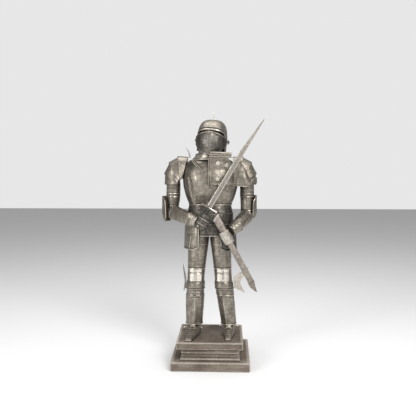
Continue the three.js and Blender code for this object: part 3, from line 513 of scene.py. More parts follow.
def buildPlinth():
    # The lower board's top edge is painted pale, as wear and a painted edge highlight. Its underside edge is painted
    # dark, as dirt and a painted contact shadow.
    buildSlab("plinth_lower_board", "plinth_lower_slab", slabProfile(94.5, 0, 21, 1.2), wearAndSheenHeights=(20.4, 0.8),
              grimeAndShadeHeights=(0.2,), seed=11)
    half, top, base = 68, 47.8, 21.2
    block = [(h, base) for h in np.linspace(0.02, 1, 6) * (half + 3.2)]
    block += [(half + 3.2, z) for z in (base + 1, base + 2, base + 3)] + [(half + 2.4, base + 3.8)]
    block += [(half + 0.6, base + 4.4), (half, base + 5)]
    block += [(half - 0.9 * swell(z, base + 6.8, 1.2) - 1.5 * swell(z, base + 15.5, 1.3) + 0.5 * swell(z, base + 18, 1.4), z)
              for z in np.linspace(base + 5.3, top - 1, 46)]
    block += [(half, top)] + [(h, top) for h in np.linspace(1, 0.02, 6)[1:] * half]
    # The middle frame's dark bands are painted shade: at 46.5 the shadow under the upper board, at 22 the shade at its
    # foot, at 36.7 and 28 the shade in the panel's grooves. Its pale bands are wear with painted highlights on the
    # mouldings.
    buildSlab("plinth_middle_frame", "plinth_middle_block", block, 75 / 68, -0.6, wearAndSheenHeights=(24.6, 38.8),
              grimeAndShadeHeights=(36.7, 28, 46.5, 22), seed=12)
    # The upper board's pale top and bottom edges are wear with painted edge highlights.
    buildSlab("plinth_upper_board", "plinth_upper_slab", slabProfile(80, 48.2, 64.5, 1.2), 1, -1.5,
              wearAndSheenHeights=(63.9, 48.8), seed=13)


buildPlinth()
print("plinth ready")

# ---- legs

legs = {
    "right": {"side": -1, "ankle": (-40.5, 8), "knee": (4.2, -8), "hip": (11.9, -6), "shin": 1.065, "keelTurn": 2,
              "toe": (-10.2, -80), "toeLength": 80, "instep": 17, "bolts": (-24.4, 18.9), "boltHeight": 13},
    "left": {"side": 1, "ankle": (46.3, 8), "knee": (-13.3, -8), "hip": (-20.9, -6), "shin": 0.97, "keelTurn": -16,
             "toe": (-1.3, -69), "toeLength": 69, "instep": 14.6, "bolts": (21.8, -22.8), "boltHeight": 19},
}
shoeCurve = 0.6


def legCentre(leg, z):
    marks = [29.5, 135.5, 246]
    return (np.interp(z, marks, [0, leg["knee"][0], leg["hip"][0]]),
            np.interp(z, marks, [0, leg["knee"][1], leg["hip"][1]]))


# The tube follows the leg's axis; its half width and half depths flow between the listed heights.
def legTube(name, node, leg, rows, count, relief, material, girth=1.0, keeled=False, dent=0.14, seed=1, around=84, extraWear=None):
    z = evenly(rows[0][0], rows[-1][0], count)
    w, f, b = (flowing([(r[0], r[k]) for r in rows], z) for k in (1, 2, 3))
    x, y = legCentre(leg, z)
    angle = roundAngles(around)
    grid = ovalGrid(z, angle, w * girth, f, b, x, y, 4.6 if keeled else 0, leg["keelTurn"] if keeled else 0, 2.2)
    aa, zz = np.meshgrid((angle + pi) % (2 * pi) - pi, z)
    raised = relief(aa, zz)
    grid = grid + normalsOf(grid, True) * (raised + dent * np.minimum(beaten(grid, 16, seed), 0.3))[..., None]
    wearAndSheen, grimeAndShade = wearOf(raised)
    if keeled:
        wearAndSheen = np.maximum(wearAndSheen, 0.5 * swell(aa, 0, 0.09))
    if extraWear is not None:
        wearAndSheen = np.maximum(wearAndSheen, extraWear(aa, zz))
    grid += [leg["ankle"][0], leg["ankle"][1], plinthTop]
    return makePiece(name, solidMesh(grid), material, node, wearAndSheen=wearAndSheen, grimeAndShade=grimeAndShade)


def buildSabaton(which, leg):
    toe, n = leg["toeLength"], 110
    ahead = evenly(-21, toe, n)
    width = flowing([(-21, 0.55), (-17, 0.82), (2, 1), (15, 1), (toe * 0.36, 0.92), (toe * 0.585, 0.75),
                     (toe * 0.765, 0.6), (toe * 0.95, 0.51), (toe, 0.44)], ahead)
    tall = flowing([(-21, 15), (-17, 23), (2, 23.2), (15, 22.6), (toe * 0.36, 17), (toe * 0.585, 12.2),
                    (toe * 0.765, 9.2), (toe * 0.95, 6.6), (toe, 4.4)], ahead)
    lames = (ahead - 0.32 * toe) / (0.115 * toe)
    lap = np.where((lames > 0) & (lames < 5.5), 1 - lames % 1, 0)
    angle = roundAngles(64)
    across = power(np.sin(angle), shoeCurve)[None] * (width * leg["instep"])[:, None]
    top = np.maximum(0, power(np.cos(angle), shoeCurve))[None]
    up = top * (tall + 0.9 * lap - 0.5)[:, None]
    grid = np.stack([across, np.broadcast_to(-ahead[:, None], across.shape), gap + up], -1)
    grid[..., 2] -= 0.3 * np.clip(beaten(grid, 15, 31), 0, 1) * top
    turn = np.arctan2(leg["toe"][0], -leg["toe"][1])
    c, s = np.cos(turn), np.sin(turn)
    spun = np.stack([grid[..., 0] * c - grid[..., 1] * s, grid[..., 0] * s + grid[..., 1] * c, grid[..., 2]], -1)
    spun += [leg["ankle"][0], leg["ankle"][1], plinthTop]
    # Wear on the lame edges and the toe. The grime is painted shade in the creases between the lames, plus a painted
    # contact shadow along the sole where it meets the plinth.
    wearAndSheen = np.broadcast_to((lap > 0.72)[:, None] * 0.8 + 0.8 * ease(ahead, toe - 3, toe)[:, None], across.shape)
    grimeAndShade = np.broadcast_to(((lap > 0) & (lap < 0.22))[:, None] * 0.8, across.shape) + 0.6 * (1 - ease(grid[..., 2], 0.5, 4))
    makePiece(f"{which}_sabaton_shell", solidMesh(spun), plateSteel, f"{which}_sabaton", wearAndSheen=wearAndSheen, grimeAndShade=grimeAndShade, sharp=55)
    return c, s


def buildBolts(which, leg, c, s):
    for i, reach in enumerate(leg["bolts"]):
        outward = np.sign(reach)
        cosine = (leg["boltHeight"] / 23.2) ** (1 / shoeCurve)
        ankleSide = leg["instep"] * np.sin(np.arccos(cosine)) ** shoeCurve + gap
        shank = max(0.6, abs(reach) - ankleSide - 2)
        profile = [(0, 0), (1.6, 0), (1.6, shank), (3.1, shank + 0.2), (3.5, shank + 1.2), (3.3, shank + 2.6),
                   (2.5, shank + 3.8), (1.3, shank + 4.5), (0, shank + 4.7)]
        grid = turnedGrid(profile, 32)
        grid = np.stack([grid[..., 2] * outward, grid[..., 1], grid[..., 0]], -1)
        grid += [outward * ankleSide, -3, leg["boltHeight"]]
        grid = np.stack([grid[..., 0] * c - grid[..., 1] * s, grid[..., 0] * s + grid[..., 1] * c, grid[..., 2]], -1)
        grid += [leg["ankle"][0], leg["ankle"][1], plinthTop]
        side = "inner" if i else "outer"
        makePiece(f"{which}_ankle_stud_{side}", solidMesh(grid), brightSteelAndSheen, f"{which}_ankle_bolt_{side}")


# The instep's pointed bright tongue, laid on the shoe in front of the greave.
def buildTongue(which, leg, c, s):
    u, v = evenly(-1, 1, 21), evenly(0, 1, 25)

    def surface(uu, vv):
        ahead = lerp(11.5, 24, vv)
        high = flowing([(2, 23.2), (15, 22.6), (leg["toeLength"] * 0.36, 17)], ahead) + 1.0
        x = uu * lerp(2.2, 6.6, vv)
        local = np.stack([x, -ahead, gap + high - 0.012 * x * x], -1)
        px = local[..., 0] * c - local[..., 1] * s + leg["ankle"][0]
        py = local[..., 0] * s + local[..., 1] * c + leg["ankle"][1]
        return np.stack([px, py, local[..., 2] + plinthTop], -1)

    outer, inner, raised = platePoints(u, v, surface, lambda a, b: 0.4 * swell(a, 0, 0.3), 0.9, -1, 0.05)
    if (outer - inner)[..., 2].mean() < 0:
        outer = 2 * inner - outer
    makePiece(f"{which}_instep_tongue", shellMesh(outer, inner), brightSteelAndSheen, (), wearAndSheen=np.full(outer.shape[:2], 0.7))


# The plate's face is a bow about the knee's axis; the scored cross is cut into it.
def buildKneePlate(which, leg):
    low, height = 137, 166.5 - 137
    x, y = (float(a) for a in legCentre(leg, low + height / 2))

    def surface(u, v):
        angle = u * 1.15
        return np.stack([leg["ankle"][0] + x + 25 * np.sin(angle), leg["ankle"][1] + y - 25.2 * np.cos(angle),
                         plinthTop + low + 0.8 + v * height], -1)

    def relief(u, v):
        slots = np.maximum(swell(u, -0.05, 0.035), swell(u, 0.05, 0.035)) * ease(v, 0.04, 0.1) * (1 - ease(v, 0.9, 0.96))
        levels = np.maximum(swell(v, 0.7, 0.05), swell(v, 0.61, 0.04))
        border = np.maximum(swell(v, 0.02, 0.05), swell(v, 0.98, 0.05))
        return 0.35 * border - 0.75 * np.maximum(slots, levels)

    outer, inner, raised = platePoints(evenly(-0.5, 0.5, 101), evenly(0, 1, 90), surface, relief, 1.5, 1, 0.1, 7, 41)
    # The whole plate is painted bright as a painted reflection of a window, and its cut lines are painted dark as
    # painted shade.
    grimeAndShade = ease(-raised, 0.25, 0.7)
    makePiece(f"{which}_knee_plate_bright", shellMesh(outer, inner), brightSteelAndSheen, f"{which}_knee_plate",
              wearAndSheen=0.75 - grimeAndShade, grimeAndShade=grimeAndShade)


def buildLeg(which):
    leg = legs[which]
    c, s = buildSabaton(which, leg)
    buildBolts(which, leg, c, s)
    buildTongue(which, leg, c, s)
    rows = [(24, 20.4, 18, 15), (29, 19.8, 17.5, 14.5), (48, 20.4, 19, 18.5), (74, 21.4, 20, 22), (99.6, 21.9, 20.5, 19.5)]
    legTube(f"{which}_greave_shell", f"{which}_greave", leg, rows, 120,
            lambda a, z: 0.7 * swell(z, 25.4, 1.6) + 0.5 * swell(z, 97.6, 1.4) - 0.35 * swell(z, 95.6, 0.8), plateSteel,
            leg["shin"], True, 0.16, 21)
    cap = [(100, 22.2, 22, 19.5), (113.4, 22.2, 22.6, 19.5), (115, 23.2, 25, 20), (123, 23.6, 28, 20), (131, 23.2, 27, 20),
           (136.6, 21.4, 23, 20), (166.1, 21.7, 23, 20.5)]
    legTube(f"{which}_poleyn_shell", f"{which}_poleyn", leg, cap, 150,
            lambda a, z: 0.7 * swell(z, 101.2, 1.5) + 0.45 * swell(z, 107.6, 0.9) + 0.9 * swell(z, 116.4, 1.7)
            + 0.5 * swell(z, 135.2, 1.2) - 0.4 * swell(z, 119.6, 0.8), plateSteel, 1, False, 0.16, 22)
    thigh = [(166.5, 22, 22.5, 21), (186, 23, 24, 23), (212, 24.5, 26, 25.5), (246, 26.2, 28, 28), (276, 26.2, 28, 28)]
    legTube(f"{which}_cuisse_shell", f"{which}_cuisse", leg, thigh, 130,
            lambda a, z: 0.7 * swell(z, 168, 1.6) - 0.3 * swell(z, 170.4, 0.9) + 0.25 * swell(z, 228, 1.2), plateSteel, 1, False,
            0.2, 23)
    buildKneePlate(which, leg)


for which in ("right", "left"):
    buildLeg(which)
print("legs ready")

# ---- hips

waist = 389
torso = {"centre": 0.5, "squareness": 2.4}
hipWidth = [(280, 60), (345, 57.4), (370, 56), (waist, 52.4)]
hipFront = [(280, 45), (317, 49), (345, 48), (370, 43), (waist, 37)]
hipBack = [(280, 42), (317, 44), (345, 42), (370, 38), (waist, 33)]


def hipPoint(z, angle, proud):
    w, f, b = (flowing(pairs, z) + proud for pairs in (hipWidth, hipFront, hipBack))
    s, c = power(np.sin(angle), 2 / 2.3), power(np.cos(angle), 2 / 2.3)
    return np.stack([w * s + torso["centre"] - 0.8, -np.where(c > 0, f, b) * c, z + 0 * s], -1)


def buildFauld():
    bottom, top = 315.5, waist - gap
    z, angle = evenly(bottom, top, 150), roundAngles(150)
    aa, zz = np.meshgrid(angle, z)
    proud = flowing([(315.5, 1.8), (317.5, 1.3), (343.6, 1.8), (345, 0.6), (368.8, 1.3), (370.2, 0.2), (388.6, 0)], zz)
    bead = 0.9 * swell(zz, 317, 1.8) + 0.5 * swell(zz, 344.2, 1.3) + 0.5 * swell(zz, 369.4, 1.3) - 0.4 * swell(zz, 321.5, 1.2)
    outer = hipPoint(zz, aa, proud + bead - 0.6)
    outer = outer + normalsOf(outer, True) * (0.16 * np.minimum(beaten(outer, 17, 51), 0.3))[..., None]
    inner = hipPoint(zz, aa, along([(315.5, -1.2), (345, -1.2), (388.6, -1.4)], zz))
    wearAndSheen, grimeAndShade = wearOf(bead)
    makePiece("fauld_shell", shellMesh(outer, inner, True), darkSteelAndShade, "fauld", wearAndSheen=wearAndSheen, grimeAndShade=grimeAndShade)


def buildTasset(which, side, bottom, proud, material):
    def surface(u, v):
        low = bottom + 8 * np.maximum(0, 1 - u * 5) + 3 * u
        return hipPoint(lerp(low, 341, v), side * np.radians(lerp(21, 96, u)), proud)

    def relief(u, v):
        border = np.maximum(ease(0.05 - v, 0, 0.03), ease(0.045 - u, 0, 0.02))
        flute = swell(u + 0.16 * (v - 0.25), 0.34, 0.035) * ease(0.62 - v, 0, 0.1) * ease(v, 0.03, 0.08)
        second = swell(u, 0.86, 0.02) * 0.5
        return 1.1 * border + 1.2 * flute + second - 0.35 * swell(v, 0.085, 0.03)

    outer, inner, raised = platePoints(evenly(0, 1, 110), evenly(0, 1, 100), surface, relief, sheet, side, 0.16, 16, 52)
    wearAndSheen, grimeAndShade = wearOf(raised)
    makePiece(f"{which}_tasset_shell", shellMesh(outer, inner), material, f"{which}_tasset", wearAndSheen=wearAndSheen, grimeAndShade=grimeAndShade)
    return outer


buildFauld()
buildTasset("right", -1, 281, 3.1, plateSteel)
leftTasset = buildTasset("left", 1, 278, 4.6, darkSteelAndShade)

# ---- body

gorgetBottom = 497
chest = [(waist, 52.6, 37, 33), (393, 53.4, 38.5, 34), (404, 58, 43, 37), (420, 63, 49, 40), (438, 66.8, 53, 42),
         (456, 67.6, 54.5, 43), (476, 65, 51.5, 42), (491, 59, 45, 38), (499, 50, 38, 34)]


def breastFront(x, z):
    half = flowing([(r[0], r[1]) for r in chest], z)
    depth = flowing([(r[0], r[2]) for r in chest], z)
    share = np.minimum(0.999, np.abs(x - torso["centre"]) / half)
    return -depth * (1 - share ** torso["squareness"]) ** (1 / torso["squareness"])


def buildCuirass():
    z = evenly(waist, 499, 190)
    angle = roundAngles(240)
    w, f, b = (flowing([(r[0], r[k]) for r in chest], z) for k in (1, 2, 3))
    grid = ovalGrid(z, angle, w, f, b, torso["centre"], 0, 0, 0, torso["squareness"])
    x, y, zz = grid[..., 0], grid[..., 1], grid[..., 2]
    front = y < 0
    start, end = np.array([-43.0, 499.0]), np.array([-20.5, 475.5])
    way = (end - start) / np.linalg.norm(end - start)
    reach = (x - start[0]) * way[0] + (zz - start[1]) * way[1]
    off = (x - start[0]) * way[1] - (zz - start[1]) * way[0]
    inRun = ease(reach, -3, 0) * (1 - ease(reach, 30, 33)) * front
    edge = (swell(off, -1.3, 1.5) * 2.3 + swell(off, 1.7, 1.1) * 1.1) * inRun
    armhole = front * (off > 3) * ease(reach, -2, 2) * (1 - ease(reach, 26, 30)) * (1 - ease(off, 16, 22))
    hatch = 0.28 * np.sin(reach * 2 * pi / 1.9) * armhole
    rim = 0.9 * swell(zz, 390.4, 1.8) - 0.5 * swell(zz, 393.4, 1.3)
    seam = -0.7 * swell(x, 3.5, 0.9) * front * (1 - ease(zz, 436, 440)) * ease(zz, 402, 406)
    raised = edge + hatch + rim + seam
    grid = grid + normalsOf(grid, True) * (raised + 0.22 * np.minimum(beaten(grid, 22, 61), 0.35))[..., None]
    wearAndSheen, grimeAndShade = wearOf(raised)
    # Painted shade in the armhole, and dirt with painted shade darkening the chest's side behind the guard chain.
    grimeAndShade = np.maximum(grimeAndShade, 0.75 * armhole * (1 - ease(reach, 12, 26)))
    grimeAndShade = np.maximum(grimeAndShade, 0.7 * swell(x, -50, 13) * front * (1 - ease(zz, 478, 492)) * 0.6)
    makePiece("cuirass_shell", solidMesh(grid), plateSteel, "cuirass", wearAndSheen=wearAndSheen, grimeAndShade=grimeAndShade)


def buildGorget():
    rows = [(499.4, 45, 42, 34), (502, 43.5, 42, 34), (509, 39.6, 41, 33), (514.6, 36.6, 39.5, 32.5), (515.6, 31.5, 37, 30),
            (524, 31, 36, 30)]
    z = evenly(499.4, 524, 60)
    w, f, b = (flowing([(r[0], r[k]) for r in rows], z) for k in (1, 2, 3))
    grid = ovalGrid(z, roundAngles(120), w, f, b, np.where(z < 505, 0.5, 2.5), -2, 0, 0, 2.2)
    raised = 0.6 * swell(grid[..., 2], 501, 1.6) + 0.5 * swell(grid[..., 2], 513.6, 1.1)
    grid = grid + normalsOf(grid, True) * (raised + 0.15 * np.minimum(beaten(grid, 15, 62), 0.3))[..., None]
    wearAndSheen, grimeAndShade = wearOf(raised)
    # The front of the gorget on the figure's right is painted lighter, and a small round spot on it is painted dark.
    light = ease(-grid[..., 1], 10, 30) * ease(-grid[..., 0], 0, 8)
    hole = np.hypot(grid[..., 0] + 21, grid[..., 2] - 507) < 1.6
    makePiece("gorget_shell", solidMesh(grid), plateSteel, "gorget", wearAndSheen=np.maximum(wearAndSheen, 0.55 * light),
              grimeAndShade=np.maximum(grimeAndShade, hole * (grid[..., 1] < 0)))


buildCuirass()
buildGorget()
print("body ready")

# ---- helmet: the skull and the visor are both drawn about the hinge line, and then set on the neck

skull = {"halfWidth": 35.8, "radius": 50.8, "wall": 1.4, "neck": 27, "power": 3, "yaw": -5, "roll": 4.2,
         "centre": (4.8, -5, 546)}
visor = {"halfWidth": 36.4, "radius": 52.2, "prow": 6.5, "top": 21.5, "chin": -35, "brow": 27.5, "power": 3.1}
turnHelmet = np.array(Euler((0, radians(skull["roll"]), radians(skull["yaw"])), "XYZ").to_matrix())


def onNeck(grid):
    return grid @ turnHelmet.T + np.array(skull["centre"])


# Rows run from the cheek's lower edge up to the brow, over the crown, and down the back of the neck.
def skullGrid(inset, turnU, rows):
    sharpness = skull["power"]
    x = (skull["halfWidth"] - inset) * power(np.sin(turnU), 2 / sharpness)
    ring = (skull["radius"] - inset) * np.abs(np.cos(turnU)) ** (2 / sharpness)
    brow = np.radians(visor["brow"]) * ease(ring, 24, 34)
    cheek = 0.5 + (skull["neck"] - 0.5) * (1 - ease(ring, 21, 25))
    parts = []
    for kind, t in rows:
        if kind == "cheek":
            below = (1 - t) * cheek
            low = brow * 0
            parts.append(np.stack([x * (1 - 0.03 * below / skull["neck"]), -ring * np.cos(brow) * (1 - 0.2 * below / skull["neck"]),
                                   ring * np.sin(brow) - below + low], -1))
        elif kind == "dome":
            angle = lerp(brow, pi, t)
            parts.append(np.stack([x, -ring * np.cos(angle), ring * np.sin(angle)], -1))
        else:
            below = t * skull["neck"]
            parts.append(np.stack([x * (1 - 0.03 * t), ring * (1 - 0.2 * t), 0 * ring - below], -1))
    return np.stack(parts)


def buildSkull():
    spread = evenly(-1, 1, 141)
    turnU = np.radians(89.97) * (0.55 * spread + 0.45 * spread ** 3)
    rows = [("cheek", t) for t in evenly(0, 1, 12)[:-1]] + [("dome", t) for t in evenly(0, 1, 110)]
    rows += [("neck", t) for t in evenly(0, 1, 22)[1:]]
    outer, inner = skullGrid(0, turnU, rows), skullGrid(skull["wall"], turnU, rows)
    kinds = np.array([{"cheek": 0, "dome": 1, "neck": 2}[k] for k, _ in rows])[:, None]
    t = np.array([t for _, t in rows])[:, None]
    wide = np.abs(np.sin(turnU))[None]
    brim = (kinds == 1) * swell(t, 0.012, 0.022) * (1 - ease(wide, 0.93, 0.99))
    band = (kinds == 1) * (swell(t, 0.052, 0.012)) * (1 - ease(wide, 0.8, 0.95))
    comb = (kinds == 1) * swell(turnU[None], 0, 0.05) * ease(t, 0.2, 0.35)
    hem = (kinds == 2) * swell(t, 0.95, 0.07)
    raised = 0.8 * brim - 0.35 * band + 0.25 * comb + 0.6 * hem
    normal = normalsOf(outer, False)
    middle = np.array([0, 0, 0])
    sign = np.sign(np.einsum("ijk,ijk->ij", normal, outer - middle))[..., None]
    outer = outer + normal * sign * (raised + 0.16 * np.minimum(beaten(outer, 18, 71), 0))[..., None]
    wearAndSheen, grimeAndShade = wearOf(raised)
    makePiece("helmet_skull_shell", shellMesh(onNeck(outer), onNeck(inner)), plateSteel, "helmet_skull", wearAndSheen=wearAndSheen, grimeAndShade=grimeAndShade)


def visorSurface(u, v):
    turn = np.radians(u)
    x = visor["halfWidth"] * power(np.sin(turn), 2 / visor["power"])
    ring = visor["radius"] * np.abs(np.cos(turn)) ** (2 / visor["power"])
    side = np.minimum(1, np.abs(u) / 60)
    prow = visor["prow"] * np.maximum(0, 1 - side * 1.25) * np.minimum(1, 1.25 - v)
    angle = np.radians(lerp(lerp(visor["chin"], visor["chin"] + 9, side), lerp(visor["top"], visor["top"] - 8, side), v))
    reach = ring + prow
    return np.stack([x, -reach * np.cos(angle), reach * np.sin(angle)], -1)


def buildVisor():
    def relief(u, v):
        rim = 0.8 * swell(v, 0.97, 0.06)
        low = 0.6 * swell(v, 0.03, 0.05)
        ridge = 0.5 * swell(u, 0, 5)
        grooves = -0.45 * np.maximum(0, np.sin((v * 60 + u * 0.42) * 2 * pi / 7.5)) * ease(-u, 8, 18) * (1 - ease(-u, 52, 64)) \
            * (1 - ease(v, 0.34, 0.46)) * ease(v, 0.06, 0.1)
        seam = -0.5 * swell(np.abs(u), 78 - 16 * v, 2.2) * ease(u, 0, 10)
        return rim + low + ridge + grooves + seam

    spread = evenly(-1, 1, 170)
    u = 89.9 * (0.62 * spread + 0.38 * spread ** 3)
    outer, inner, raised = platePoints(u, evenly(0, 1, 110), visorSurface, relief, sheet, 1, 0.14, 13, 72)
    wearAndSheen, grimeAndShade = wearOf(raised)
    uu, vv = np.meshgrid(u, evenly(0, 1, 110))
    # A painted highlight down the visor's front strip, where it faces the light.
    light = 0.5 * swell(uu, 0, 16)
    makePiece("visor_shell", shellMesh(onNeck(outer), onNeck(inner)), darkSteelAndShade, "visor", "visor",
              wearAndSheen=np.maximum(wearAndSheen, light), grimeAndShade=grimeAndShade)


def buildPivots():
    profile = [(0, 0), (6.2, 0), (6.2, 1.2), (5.6, 1.9), (3, 2.1), (2.9, 3), (2.3, 3.8), (1.2, 4.15), (0, 4.2)]
    for which, side in (("right", -1), ("left", 1)):
        grid = turnedGrid(profile, 40)
        grid = np.stack([grid[..., 2] * side, grid[..., 1], grid[..., 0]], -1)
        grid += [side * (visor["halfWidth"] + sheet + 1), 0, -1]
        wearAndSheen = np.broadcast_to(swell(np.linspace(0, 1, len(grid)), 0.3, 0.15)[:, None], grid.shape[:2])
        makePiece(f"visor_pivot_cap_{which}", solidMesh(onNeck(grid)), darkSteelAndShade, f"visor_pivot_{which}", wearAndSheen=wearAndSheen)


buildSkull()
buildVisor()
buildPivots()
print("helmet ready")

# ---- grandguard

guardLeft = -2.5
guardRight = [(438, 55.4), (465, 55.4), (487, 51), (504, 45)]


def guardFront(x, z):
    resting = breastFront(x, z) - 2.8
    standing = -60 + 0.0016 * np.maximum(0, x) ** 2
    return np.minimum(resting, lerp(resting, standing, ease(z, 472, 500)))


def buildGrandguard():
    bottom, top, width = 440, 503, 59

    def surface(u, v):
        z = lerp(bottom, top, v)
        right = along(guardRight, z)
        x = np.where(u < 0.2, guardLeft + u * width, lerp(guardLeft + 0.2 * width, right, (u - 0.2) / 0.8))
        return np.stack([x, guardFront(x, z), z], -1)

    def relief(u, v):
        inner = 1.5 * np.maximum(ease(0.045 - u, 0, 0.015), swell(u, 0.098, 0.034))
        floor = 1.4 * swell(v, 0.028, 0.03) * ease(u, 0.05, 0.08)
        slant = 0.9 * swell(u + 0.12 * (v - 0.8), 0.86, 0.022) * ease(v, 0.62, 0.7)
        outerSeam = -0.5 * swell(u, 0.93, 0.014) * (1 - ease(v, 0.6, 0.7))
        x, z = guardLeft + u * width, lerp(bottom, top, v)
        hatchArea = ease(u, 0.62, 0.68) * (1 - ease(u, 0.86, 0.9)) * ease(v, 0.03, 0.08) * (1 - ease(v, 0.28, 0.4))
        hatch = 0.22 * np.sin((x + z) * 2 * pi / 2.2) * hatchArea
        return inner + floor + slant + outerSeam + hatch

    outer, inner, raised = platePoints(evenly(0, 1, 170), evenly(0, 1, 150), surface, relief, sheet, 1, 0.2, 17, 81)
    wearAndSheen, grimeAndShade = wearOf(raised)
    makePiece("grandguard_shell", shellMesh(outer, inner), plateSteel, "grandguard", wearAndSheen=wearAndSheen, grimeAndShade=grimeAndShade)


def buildCollar():
    def surface(u, v):
        x = lerp(lerp(-1.5, 1.5, v), 52, u)
        z = 503.6 + v * (16 - 0.065 * np.maximum(0, x))
        return np.stack([x, -61 + 0.0016 * np.maximum(0, x) ** 2, z], -1)

    def relief(u, v):
        return 1.5 * sum(swell(v, mark, 0.12) for mark in (0.16, 0.49, 0.83))

    outer, inner, raised = platePoints(evenly(0, 1, 110), evenly(0, 1, 70), surface, relief, sheet, 1, 0.08, 15, 82)
    wearAndSheen, grimeAndShade = wearOf(raised)
    makePiece("grandguard_collar_shell", shellMesh(outer, inner), plateSteel, "grandguard_collar", wearAndSheen=wearAndSheen, grimeAndShade=grimeAndShade)


def buildWashers():
    profile = [(0, 0), (5, 0), (5, 0.7), (4.5, 1.1), (3, 1.1), (2.4, 0.8), (2.2, 1.6), (1.7, 2.4), (0.9, 2.75), (0, 2.8)]
    for i, (x, z) in enumerate([(19.9, 491), (19, 454.4), (40, 486.5)]):
        slope = float(guardFront(x + 2, z) - guardFront(x - 2, z)) / 4
        lean = float(guardFront(x, z + 2) - guardFront(x, z - 2)) / 4
        place = (x, float(guardFront(x, z)) - sheet - 1.2, z)
        grid = facing(turnedGrid(profile, 40), place, (slope, -1, lean))
        t = np.linspace(0, 1, len(grid))[:, None]
        makePiece(f"grandguard_rosette_{i + 1}", solidMesh(grid), brightSteelAndSheen, f"grandguard_washer_{i + 1}",
                  wearAndSheen=np.broadcast_to(0.7 + 0 * t, grid.shape[:2]), grimeAndShade=np.broadcast_to(swell(t, 0.55, 0.07), grid.shape[:2]))


buildGrandguard()
buildCollar()
buildWashers()

# ---- pauldrons: each lame is a fan blade between two rays from the armpit

pole = {"x": 71, "y": 2, "z": 441, "halfDepth": 34, "fall": 0.75}
rim = [(42.3, -2), (43.5, 26), (31.3, 53.5), (8.1, 68.6), (-17.1, 68.6)]
rimAngle = [float(np.arctan2(up, out)) for out, up in rim]


def rimReach(angle):
    angle = np.clip(angle, rimAngle[0], rimAngle[-1])
    k = np.clip(np.searchsorted(rimAngle, angle - 1e-9), 1, len(rim) - 1)
    points = np.array(rim)
    x0, y0, x1, y1 = points[k - 1, 0], points[k - 1, 1], points[k, 0], points[k, 1]
    return (x0 * y1 - x1 * y0) / ((y1 - y0) * np.cos(angle) - (x1 - x0) * np.sin(angle))


def lameSurface(side, index):
    start = rimAngle[index] - (0.03 if index else 0)
    end = rimAngle[index + 1]

    def surface(u, v):
        angle = lerp(start, end, v)
        tip = u * radians(85)
        inner = sheet + 2.5 * v
        reach = 1 + (rimReach(angle) - inner) * np.cos(tip) ** pole["fall"]
        y = pole["y"] + (pole["halfDepth"] - inner) * np.sin(tip)
        return np.stack([side * (pole["x"] + reach * np.cos(angle)), y, pole["z"] + reach * np.sin(angle)], -1)

    return surface


def buildLame(which, side, index):
    first = index == 0

    def relief(u, v):
        line = 1.3 * swell(v, 0.8, 0.055) + (0.9 * swell(v, 0.04, 0.05) if first else 0.45 * swell(v, 0.03, 0.035))
        hatch = 0.2 * np.sin(v * 2 * pi * 9) * np.cos(u * 2 * pi * 14) * (which == "left")
        return line + hatch * ease(v, 0.08, 0.14) * (1 - ease(v, 0.66, 0.74))

    outer, inner, raised = platePoints(evenly(-1, 1, 120), evenly(0, 1, 70), lameSurface(side, index), relief,
                                       sheet, -side, 0.2, 14, 90 + index)
    wearAndSheen, grimeAndShade = wearOf(raised)
    makePiece(f"{which}_pauldron_fan_{index + 1}", shellMesh(outer, inner), plateSteel, f"{which}_pauldron_lame_{index + 1}",
              wearAndSheen=wearAndSheen, grimeAndShade=grimeAndShade)


def shoulderFront(x, z):
    angle = np.clip(np.arctan2(z - pole["z"], x - pole["x"]), rimAngle[0], rimAngle[-1])
    share = np.minimum(1, np.hypot(x - pole["x"], z - pole["z"]) / rimReach(angle))
    return pole["y"] - pole["halfDepth"] * np.sqrt(1 - share ** (2 / pole["fall"]))


def buildShoulderPlate():
    line = np.array([(58, -41), (70, -47), (84, -48.5), (97, -44), (107, -33), (113, -14)], float)
    run = np.concatenate([[0], np.cumsum(np.hypot(*np.diff(line, axis=0).T) ** 0.5)])
    run /= run[-1]
    even = np.linspace(0, 1, 6)
    topEdge = [(57, 484), (67, 489), (79, 489), (86, 475), (91, 461), (98, 451.5), (108, 457), (114, 457)]
    bottomEdge = [(57, 437), (84, 436), (98, 439), (114, 443)]

    def surface(u, v):
        u = np.clip(u, 0, 1)
        x, y = flowing(list(zip(even, line[:, 0])), u), flowing(list(zip(even, line[:, 1])), u)
        z = lerp(flowing(bottomEdge, x), along(topEdge, x), v)
        forward = y + 3 * (1 - v) ** 3
        onLames = np.minimum(shoulderFront(x, z) - 3.4, forward + 12)
        return np.stack([x, lerp(forward, onLames, v ** 2 * ease(x, 66, 80) * 0.8), z], -1)

    def relief(u, v):
        border = 1.1 * swell(v, 0.02, 0.035) + 0.7 * swell(v, 0.985, 0.03) + 0.6 * swell(u, 0.012, 0.02)
        dots = 0.14 * np.sin(u * 2 * pi * 30) * np.sin(v * 2 * pi * 22)
        return border + dots * ease(v, 0.08, 0.12) * (1 - ease(v, 0.9, 0.95))

    outer, inner, raised = platePoints(evenly(0, 1, 150), evenly(0, 1, 110), surface, relief, sheet, 1, 0.25, 15, 95)
    wearAndSheen, grimeAndShade = wearOf(raised)
    makePiece("left_pauldron_front", shellMesh(outer, inner), plateSteel, "left_pauldron_plate", wearAndSheen=wearAndSheen, grimeAndShade=grimeAndShade)


for which, side in (("right", -1), ("left", 1)):
    for index in range(4):
        buildLame(which, side, index)
buildShoulderPlate()
print("shoulders ready")

# ---- arms

